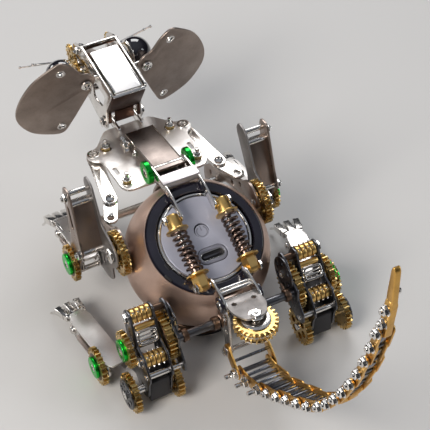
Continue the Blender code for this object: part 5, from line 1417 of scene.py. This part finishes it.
def hind_cage(kit):
    inner = [(0.9, 12.8), (5.3, 13.0), (6.3, 9.2), (4.1, -2.0), (0.9, -4.6), (-9.5, -7.5), (-12.9, -6.2),
             (-12.5, -2.6), (-8.5, 1.6), (-8.4, 5.8), (-4.1, 6.8)]
    heel, ankle = HEEL - CAGE, HIND_ANKLE - CAGE
    spine = [(heel.y - 3.2, heel.z - 1.8), (heel.y - 3.8, heel.z + 1.2), (-11.6, -8.2), (-13.2, -4.6),
             (-11.4, -1.8), (-8.4, 2.0), (-3.8, 3.4), (0.4, 10.6), (1.6, 13.6), (5.8, 12.8), (6.6, 9.0),
             (3.4, -1.6)]
    core = spine + [(0.6, -6.0), (heel.y + 3.4, heel.z - 2.2), (heel.y + 0.4, heel.z - 3.6)]
    outer = spine + [(ankle.y + 2.6, ankle.z + 2.8), (ankle.y + 3.2, ankle.z - 1.2),
                     (ankle.y + 0.4, ankle.z - 3.2),
                     (ankle.y - 2.8, ankle.z - 2.2), (heel.y + 6.4, heel.z + 0.6),
                     (heel.y + 2.4, heel.z - 3.2),
                     (heel.y - 0.6, heel.z - 3.6)]
    axle_hole, heel_hole = round_loop((0, 0), 1.9), round_loop((heel.y, heel.z), 1.7)
    ankle_hole = round_loop((ankle.y, ankle.z), 1.7)
    disc_holes = [round_loop((0.6 + 4.4 * math.cos(a), 6.6 + 4.4 * math.sin(a)), 0.95, 14)
                  for a in (math.radians(20 + 60 * k) for k in range(6))]
    kit.add("inner_plate", "dark_steel", at(sheet(rounded(inner, 1.4), SHEET, [axle_hole], 0.15),
                                            side_plane(CAGE_INNER_X + SHEET / 2, CAGE)))
    disc = sheet(round_loop((0.6, 6.6), 6.3, 40), 0.6, disc_holes, 0.15)
    kit.add("perforated_disc", "dark_steel", at(disc, side_plane(CAGE_INNER_X - 0.42, CAGE)))
    kit.add("disc_bolt", "nickel", at(nut(1.5, 0.9, 0.7, 0.4),
                                      side_plane(CAGE_INNER_X - 0.7, CAGE + Vector((0, 0.6, 6.6)))
                                      @ Matrix.Rotation(math.pi, 4, "X")))
    kit.add("core_plates", "dark_steel",
            at(sheet(rounded(core, 1.2), SHEET, [axle_hole, heel_hole], 0.15),
               side_plane(CORE_INNER_X + 0.4, CAGE)),
            at(sheet(rounded(outer, 1.2), SHEET, [axle_hole, heel_hole, ankle_hole], 0.15),
               side_plane(CORE_OUTER_X + 0.4, CAGE)))
    heel_solid = block((-3.4, -4.0, CORE_INNER_X + SHEET), (3.4, 5.0, CORE_OUTER_X), 0.35, 3)
    kit.add("heel_block", "matt_black", at(heel_solid, side_plane(0, HEEL)))
    high, low = CAGE + Vector((0, 3.5, 10.6)), CAGE + Vector((0, -6.5, -1.2))
    for point in (high, low):
        roller_stack(kit, point, CORE_INNER_X + 0.9, CORE_OUTER_X - 0.1)
        bolt_end(kit, point, CORE_OUTER_X + SHEET - 0.05, 1.7, 1.0, 0.8, 0.2)
    kit.add("roller_cores", "dark_steel", across(high, CAGE_INNER_X - 0.5, CORE_INNER_X + 1, 1.2))
    tie = CAGE + Vector((0, -10.5, -4.8))
    kit.add("tie_rod", "nickel", across(tie, CAGE_INNER_X - 0.4, CORE_OUTER_X + SHEET + 0.4, 1.0))
    middle = (high + low) / 2
    place = plane(((CORE_INNER_X + CORE_OUTER_X + SHEET) / 2, middle.y, middle.z), (1, 0, 0), high - low)
    place = place @ Matrix.Translation((0, 0, 1.6))
    loop = rounded([(-3.6, -2.5), (3.6, -2.5), (3.6, 2.5), (-3.6, 2.5)], 1.6, 6)
    window = rounded([(-2.8, -1.7), (2.8, -1.7), (2.8, 1.7), (-2.8, 1.7)], 1.2, 6)
    kit.add("wire_loop", "nickel", at(sheet(loop, 0.8, [window], 0.25, 3), place))
    loop_rods = [at(bar((-3.2, v, -0.5), (3.2, v, -0.5), 0.32, 12), place) for v in (-0.55, 0.6)]
    kit.add("loop_bars", "nickel", *loop_rods)
    kit.add("thin_roller", "satin_brass", at(bar((-3.6, 3.6, -0.9), (3.2, 3.6, -0.9), 1.1, 20, 0.2), place))


# %% [markdown]
# ### Hind gears
# Every hind gear is a stack: brass teeth, a dark web let into their face, a hub, and
# at its end a green ring or a dark disc with round holes. The teeth come from one
# function that takes their number, so each gear keeps the same pitch as its
# neighbour. Radial copies of one tooth would do as well, but a single outline keeps
# the gear one closed shape.

# %% Hind gears
def hind_gear(kit):
    line = math.atan2(HEEL.z - CAGE.z, HEEL.y - CAGE.y)
    kit.add("teeth", "brass", at(gear(30, 2.6, 1.5, 7, line), side_plane(HIND_GEAR_X + 1.3, CAGE)))
    kit.add("hub", "satin_brass", at(turned([(0, 0), (3.4, 0), (3.4, 3.0), (0, 3.0)], 32, 0.15),
                                     side_plane(HIND_GEAR_X - 0.2, CAGE)))
    kit.add("webs", "dark_bronze", at(turned([(3.0, 0), (6.9, 0), (6.9, 2.8), (3.0, 2.8)], 40, 0.1, True),
                                      side_plane(HIND_GEAR_X - 0.1, CAGE)))
    x = corners("hind_gear_right")[1].x - 4.3
    kit.add("teeth", "brass", at(gear(22, 2.0, 1.5, 6), side_plane(x + 1.0, CAGE)))
    kit.add("hub", "dark_bronze", at(turned([(0, 0), (4.7, 0), (4.7, 2.1), (0, 2.1)], 32, 0.1),
                                     side_plane(x - 0.05, CAGE)))
    inner_end = side_plane(CAGE_INNER_X - 0.35, CAGE) @ Matrix.Rotation(math.pi, 4, "X")
    kit.add("axle", "nickel", across(CAGE, CAGE_INNER_X - 1.2, x + 2.0, 1.4),
            at(nut(2.2, 0.9, 0.5, 0.1), inner_end))
    kit.add("ring", "green", at(ring(2.7, 2.5, 1.3, 40), side_plane(x + 1.95, CAGE)))
    kit.add("seat", "nickel", at(nut(2.0, 1.3, 0.8, 0.1), side_plane(x + 1.95, CAGE)))


def heel_wheel(kit):
    phase = math.atan2(CAGE.z - HEEL.z, CAGE.y - HEEL.y) + math.pi / 24
    kit.add("teeth", "brass", at(gear(24, 2.3, 1.3, 6, phase), side_plane(HIND_GEAR_X + 1.45, HEEL)),
            at(gear(24, 2.0, 1.3, 0, phase), side_plane(HEEL_OUTER_X + 1.0, HEEL)))
    face = HEEL_OUTER_X + 2.0
    holes = [round_loop((3.7 * math.cos(a), 3.7 * math.sin(a)), 0.95, 14)
             for a in (2 * math.pi * k / 6 for k in range(6))]
    wheel_disc = sheet(round_loop((0, 0), 5.4, 40), 0.7, holes + [round_loop((0, 0), 1.2)], 0.16)
    kit.add("disc", "dark_steel", at(wheel_disc, side_plane(face + 0.75, HEEL)))
    kit.add("axle", "nickel", across(HEEL, HIND_GEAR_X - 0.5, face + 1.1, 1.3),
            at(nut(1.7, 0.8, 0.6, 0.1), side_plane(face + 1.05, HEEL)))
    kit.add("hub", "satin_brass", across(HEEL, face - 0.2, face + 0.5, 2.6, 28))


def ankle_gear(kit):
    x = corners("ankle_gear_right")[1].x - 4.3
    kit.add("teeth", "brass", at(gear(23, 2.0, 1.3, 6), side_plane(x + 1.0, HIND_ANKLE)))
    kit.add("hub", "dark_bronze", at(turned([(0, 0), (5.0, 0), (5.0, 2.1), (0, 2.1)], 32, 0.1),
                                    side_plane(x - 0.05, HIND_ANKLE)))
    kit.add("axle", "nickel", across(HIND_ANKLE, CORE_OUTER_X - 0.7, x + 1.8, 1.2))
    axle_end(kit, HIND_ANKLE, x + 2.0)


both_sides(hind_cage, "hind_cage", "root", "hind_cage")
both_sides(hind_gear, "hind_gear", "hind_gear", "hind_gear")
both_sides(heel_wheel, "heel_wheel", "heel_wheel", "heel_wheel")
both_sides(ankle_gear, "ankle_gear", "hind_foot", "ankle_gear")

# %% [markdown]
# ## Tail
# The tail is a chain of small links. Its joints are the frame's seven hinges, and
# between them the links follow a smooth curve. As in a bicycle chain, wide and narrow
# pairs of gold plates take turns, with steel spacer blocks between the plates and a
# nut on the left end of each pin.

# %% Tail curve
tip_low, tip_high = corners("tail_tip")
TAIL_END = Vector((0, tip_low.y + 0.3, tip_high.z - 0.1))
KNOTS = [TAIL[0] * 2 - TAIL[1], *TAIL, TAIL_END, TAIL_END * 2 - TAIL[6]]


def tail_point(stage, share):
    """A point of the tail's curve, from one hinge (share 0) to the next (share 1)."""
    a, b, c, d = KNOTS[stage], KNOTS[stage + 1], KNOTS[stage + 2], KNOTS[stage + 3]
    t = share
    return 0.5 * (
        2 * b + (c - a) * t + (2 * a - 5 * b + 4 * c - d) * t * t + (3 * b - a - 3 * c + d) * t ** 3)


def tail_half(stage, share):
    widths = (7.3, 6.3, 4.9, 4.1, 3.3, 2.6, 1.9, 1.1)
    return widths[stage] + (widths[min(stage + 1, 7)] - widths[stage]) * share


def tail_nut(kit, point, half, size, stud_height):
    place = side_plane(-half, point) @ Matrix.Rotation(math.pi, 4, "X")
    link_nut = at(nut(size, size * 0.85, size * 0.5, stud_height), (0, 0, 0.22))
    kit.add("nuts", "nickel", at(group(washer(size * 1.2, 0.22, 0.2), link_nut), place))


# %% [markdown]
# ### Tail links
# A link is two plates, a spacer, a pin and a nut. The same function makes all of
# them, and only the width, the plate's radius and the nut change along the tail. The
# first links are open, with a thin rod where the later ones have a block.

# %% Tail links
def chain_link(kit, start, end, half, wide, stage):
    """One pair of plates from pin to pin, with its spacer, and the pin at its far end."""
    shift = 0.38 if wide else -0.38
    outer = half + shift
    radius = 2.4 - 0.17 * stage
    nut_size = 1.8 - 0.07 * stage
    stud_height = 2.4 if stage < 2 else 0.6
    outline = capsule((start.y, start.z), (end.y, end.z), radius, radius, 8)
    for side in (-1, 1):
        kit.add("plates", "gold", at(sheet(outline, 0.6, (), 0.14), side_plane(side * (outer - 0.3))))
    along = (end - start).normalized()
    middle = (start + end) / 2
    place = plane(middle, (1, 0, 0), along)
    reach = half - 1.0
    if stage < 2:
        kit.add("spacers", "blued_steel", across(middle, -half - 0.1, half + 0.1, 0.55, 16))
    else:
        kit.add("spacers", "blued_steel", at(block((-reach, -1.5, -0.75), (reach, 1.5, 0.75), 0.3), place))
    kit.add("pins", "dark_steel", across(end, -half - 0.3, half + 0.3, min(0.8, nut_size * 0.55), 12))
    tail_nut(kit, end, half + 0.38, nut_size, stud_height)
    rivet_profile = [(0, 0), (nut_size * 0.7, 0), (nut_size * 0.5, 0.4), (0, 0.45)]
    kit.add("rivets", "gold", at(turned(rivet_profile, 12), side_plane(half + 0.36, end)))


def tail_link(stage, first_count):
    """All chain links between two hinges of the frame."""
    start, end = TAIL[stage], (TAIL + [TAIL_END])[stage + 1]
    count = max(1, round((end - start).length / 8.0))
    kit = Kit(f"tail_link_{stage + 1}", f"tail_link_{stage + 1}", [f"tail_link_{stage + 1}"])
    for k in range(count):
        low, high = k / count, (k + 1) / count
        half = tail_half(stage, (low + high) / 2)
        chain_link(kit, tail_point(stage, low), tail_point(stage, high), half, (first_count + k) % 2 == 0,
                   stage)
    kit.hand_over()
    return first_count + count


def tail_tip():
    kit = Kit("tail_tip", "tail_tip", ["tail_tip"])
    root = tail_point(6, 0)
    bend = tail_point(6, 0.45)
    half = 1.15
    outline = capsule((root.y, root.z), (bend.y, bend.z), 1.9, 1.6, 8)
    blade = [(bend.y - 1.6, bend.z - 2.0), (bend.y + 1.6, bend.z - 2.0), (bend.y + 1.3, bend.z + 4.0),
             (TAIL_END.y + 1.5, TAIL_END.z - 1.4), (TAIL_END.y + 0.6, TAIL_END.z + 0.1),
             (TAIL_END.y - 0.5, TAIL_END.z - 1.2), (bend.y - 1.6, bend.z + 4.0)]
    kit.add("blade", "gold", at(sheet(outline, 2 * half, (), 0.35, 3), side_plane(0)),
            at(sheet(rounded(blade, 1.0), 1.7 * half, (), 0.4, 3), side_plane(0)))
    for share in (0.14, 0.36):
        tail_nut(kit, tail_point(6, share), half, 1.45, 0.7)
    kit.add("knob", "nickel", at(turned([(0, 0), (0.9, 0.2), (1.0, 0.7), (0.6, 1.3), (0, 1.4)], 16),
                                 side_plane(0.8, tail_point(6, 0.62))))
    return kit.hand_over()


links_made = 0
for stage in range(6):
    links_made = tail_link(stage, links_made)
tail_tip()
print(links_made, "chain links")

# %% [markdown]
# ## Head
# The head is an open frame: two bright side plates, a dark rear wall and a folded top
# that is the whitest surface of the mouse, partly by painted highlight. Everything here
# rides on the head's body.

# %% Head frame
HEAD_HALF = 7.0
HEAD_TOP_REAR = HEAD_PIVOT + Vector((0, -9.0, 18.3))
HEAD_TOP_FRONT = HEAD_PIVOT + Vector((0, 18.6, 21.7))


def ear_place():
    u = (Vector((1, 0, 0)) - EAR_NORMAL * EAR_NORMAL.x).normalized()
    return plane(EAR_ROOT, u, EAR_NORMAL.cross(u))


def head_side(kit):
    outline = [(-9.0, 18.4), (18.6, 21.8), (25.4, 18.3), (27.9, 10.8), (23.4, 4.3), (11.4, -0.2),
               (3.4, -2.8),
               (0.0, -3.2), (-2.3, -2.0), (-2.7, 1.4), (-2.0, 5.8)]
    holes = [round_loop((0, 0), 1.6), rounded([(0.5, 6.5), (8.2, 5.4), (9.4, 14.2), (-2.6, 13.2)], 1.6),
             round_loop((22.6, 12.4), 1.4)]
    kit.add("side", "nickel", at(sheet(rounded(outline, 1.8), SHEET, holes, 0.2, 3),
                                 side_plane(HEAD_HALF - SHEET / 2, HEAD_PIVOT)))
    mirror = ear_place()
    kit.add("ear_stay", "nickel", at(block((-5.3, -1.8, 0.75), (1.9, 1.8, 1.45), 0.25), mirror))
    bolt_head = [(0, -0.8), (2.1, -0.8), (2.0, -1.3), (1.4, -1.8), (0, -2.0)]
    kit.add("ear_bolt", "nickel", at(turned(bolt_head, 24), mirror),
            at(bar((0, 0, -1), (0, 0, 1.6), 1.0), mirror))
    cut = at(cross_cut_shade(2.0, 1.9), Matrix.Rotation(math.pi, 4, "X") @ Matrix.Rotation(0.5, 4, "Z"))
    # A black cross of painted shade stands for the bolt's cut.
    kit.add("ear_bolt_cut_shade", "matt_black", at(cut, mirror))
    stem = eye_centre()
    kit.add("eye_stem", "nickel", across(stem, HEAD_HALF, stem.x, 1.6))
    kit.add("cheek_gear", "brass", at(gear(12, 1.2, 1.6, 0), side_plane(HEAD_HALF + 1.5, stem)),
            at(gear(16, 0.9, 1.0, 5), side_plane(HEAD_HALF + 0.7, stem + Vector((0, 6.5, 1.8)))))
    bolt_end(kit, HEAD_PIVOT + Vector((0, 14.0, 4.6)), HEAD_HALF, 1.5, 0.9, 0.7, 0.3)
    bolt_end(kit, HEAD_PIVOT + Vector((0, 20.6, 18.0)), HEAD_HALF, 1.3, 0.8, 0.6, 0.8)
    bolt_end(kit, HEAD_PIVOT, HEAD_HALF + 0.1, 1.8, 1.0, 0.8, 0.2)


def eye_centre():
    low, high = corners("eye_right")
    return Vector((high.x - 6.2, (low.y + high.y) / 2, (low.z + high.z) / 2))


def head_middle():
    kit = Kit("head_frame", "head", ["head_frame"])
    low = HEAD_PIVOT + Vector((0, -1.9, 5.0))
    high = HEAD_TOP_REAR + Vector((0, 0.35, -0.6))
    inside = HEAD_HALF - SHEET + 0.1
    place = plane((-inside, low.y, low.z), (1, 0, 0), high - low)
    length = (high - low).length
    kit.add("rear_wall", "rust_panel", at(block((0, 0, -0.35), (2 * inside, length, 0.35), 0.1), place))
    flaps = [(-3.7, 3.7)] + [(side * 5.6 - 0.6, side * 5.6 + 0.6) for side in (-1, 1)]
    flap_walls = [block((left, low.y - 0.9, HEAD_PIVOT.z + 0.6), (right, low.y - 0.3, low.z + 0.5), 0.12)
                  for left, right in flaps]
    kit.add("rear_wall", "rust_panel", *flap_walls)
    upper_edge = block((0, length - 0.5, -0.45), (2 * inside, length + 0.1, 0.55), 0.2)
    lower_edge = block((0, -0.3, -0.45), (2 * inside, 0.5, 0.5), 0.2)
    kit.add("rear_edges", "nickel", at(upper_edge, place), at(lower_edge, place))
    front = HEAD_TOP_FRONT
    kit.add("front_bar", "nickel", block((-inside, front.y - 1.2, front.z - 2.0),
                                         (inside, front.y - 0.2, front.z + 0.1), 0.25))
    # A dark brown slab inside the head's front opening: painted shade in the opening.
    kit.add("opening", "rust_panel", block((-inside, front.y - 5.2, front.z - 4.6),
                                           (inside, front.y - 0.6, front.z - 4.0), 0.1))
    kit.add("cross_rod", "nickel", across(HEAD_PIVOT + Vector((0, 14.0, 4.6)), -inside, inside, 1.2))
    return kit.hand_over()


both_sides(head_side, "head_side", "head")
head_middle()


# %% [markdown]
# ### Head top
# A folded cover closes the top of the head. Its plate is a flat sheet with rounded
# edges and its two flanges are thin blocks, in a plane that leans forward with the
# head. It is nearly white: its colour is nickel painted near white as a painted
# highlight, and its brushed face mirrors the lamp above.

# %% Head top
def head_box():
    kit = Kit("head_box", "head", ["head_box"])
    half = corners("head_box")[1].x
    rear = HEAD_TOP_REAR + Vector((0, 0.9, 0.3))
    front = HEAD_TOP_FRONT + Vector((0, -3.8, 0))
    place = plane((0, rear.y, rear.z), (1, 0, 0), front - rear)
    length = (front - rear).length - 1.3
    plate = rounded([(-half, 0), (half, 0), (half, length), (-half, length)], 0.6)
    # The top plate gets nickel painted near white as a painted highlight; its flanges stay plain nickel.
    kit.add("top", "head_painted_white", at(sheet(plate, 0.7, (), 0.2, 3),
                                    place @ Matrix.Translation((0, 0, -0.36))))
    for side in (-1, 1):
        kit.add("flanges", "nickel", at(block((side * half - 0.35, 0.3, -4.2),
                                              (side * half + 0.35, length - 0.2, 0.12), 0.2),
                                        place @ Matrix.Translation((-side * 0.35, 0, 0))))
    return kit.hand_over()


head_box()


# %% [markdown]
# ### Eyes
# The eyes are black glossy domes in a bright collar. A profile from the flat back to
# the pole is spun once around, which gives a dome with no seam. A clear coat on a
# nearly black base does the rest.

# %% Eyes
def eye(kit):
    centre = eye_centre()
    radius = 6.2
    place = side_plane(centre.x, centre) @ Matrix.Rotation(0, 4, "Z")
    dome = [(0, -3.1), (5.2, -3.1)] + arc(radius, math.radians(-20), math.pi / 2, 18)
    kit.add("ball", "eye_black", at(turned(dome, 48), place))
    collar_profile = [(3.6, -3.3), (5.0, -3.3), (5.9, -2.4), (5.75, -2.1), (3.6, -2.4)]
    kit.add("collar", "nickel", at(turned(collar_profile, 40, 0.08, closed=True), place))


both_sides(eye, "eye", "head", "eye")


# %% [markdown]
# ### Ears
# An ear is one sheet with a wavy rim, drawn flat as fifteen knots in the plane of its
# root bolt and smoothed into a curve. Cutting the sheet from a flat outline and
# rounding its edge keeps the bright line that a sheared edge shows. The two small
# holes have bright eyelets.

# %% Ears
EAR_RIM = [(-1.6, 4.6), (1.6, 12.4), (4.8, 19.8), (8.0, 25.2), (13.8, 24.6), (20.6, 20.8), (25.4, 12.8),
           (25.0, 4.2),
           (20.4, -5.6), (13.8, -11.8), (9.6, -14.0), (5.6, -11.6), (1.8, -6.4), (-1.4, -5.0), (-3.3, -1.7)]


def ear(kit):
    loop = smooth_loop(EAR_RIM, 6)
    holes = [round_loop((0, 0), 1.4), round_loop((9.4, -8.9), 1.4, 24), round_loop((8.8, 21.2), 1.4, 24)]
    kit.add("plate", "ear_bronze", at(sheet(loop, 0.9, holes, 0.25, 3), ear_place()))
    for u, v in ((9.4, -8.9), (8.8, 21.2)):
        eyelet_profile = [(1.15, -0.62), (1.75, -0.62), (1.75, 0.62), (1.15, 0.62)]
        kit.add("eyelets", "nickel",
                at(turned(eyelet_profile, 28, 0.15, True), ear_place() @ Matrix.Translation((u, v, 0))))


both_sides(ear, "ear", "ear", "ear")


# %% [markdown]
# ### Snout and whiskers
# The muzzle is a turned bronze piece in the frame between the eyes, with a black ball
# nose. A turned profile gives its grooves in one step. The whiskers are thin steel
# pins with a blunt end, and stay straight.

# %% Snout and whiskers
def snout():
    kit = Kit("snout", "head", ["snout"])
    start = HEAD_PIVOT + Vector((0, 17.0, 8.6))
    tip = start + Vector((0, 22.0, -5.4))
    along = (tip - start).normalized()
    place = plane(start, (1, 0, 0), along.cross(Vector((1, 0, 0))))
    length = (tip - start).length
    profile = [(0, 0), (5.2, 0), (5.4, 0.3), (5.4, 4.2), (5.0, 4.4), (5.0, 4.8), (5.3, 5.0),
               (3.95, length * 0.55),
               (3.6, length * 0.56), (3.6, length * 0.6), (3.75, length * 0.61), (1.8, length * 0.86),
               (0, length * 0.87)]
    kit.add("muzzle", "bronze_plate", at(turned(profile, 40), place))
    ball_outline = [(2.6 * math.sin(a), length * 0.94 - 2.4 * math.cos(a))
                    for a in (0.5, 0.9, 1.3, 1.7, 2.1, 2.5, 2.8)]
    nose = [(0, length * 0.85)] + ball_outline + [(0, length * 0.94 + 2.4)]
    kit.add("nose", "eye_black", at(turned(nose, 28), place))
    for side in (-1, 1):
        for y, z, reach in ((90.0, 51.0, 26.0), (87.0, 53.0, 22.0)):
            root = Vector((side * 2.0, y, z - 2.6))
            end = Vector((side * reach, y + 1.5, z + 1.0))
            kit.add("whiskers", "nickel", bar(root, end, 0.32, 8, 0),
                    bar(end, end + (end - root).normalized() * 0.8, 0.55, 8, 0.1))
    return kit.hand_over()


snout()

# %% Finish
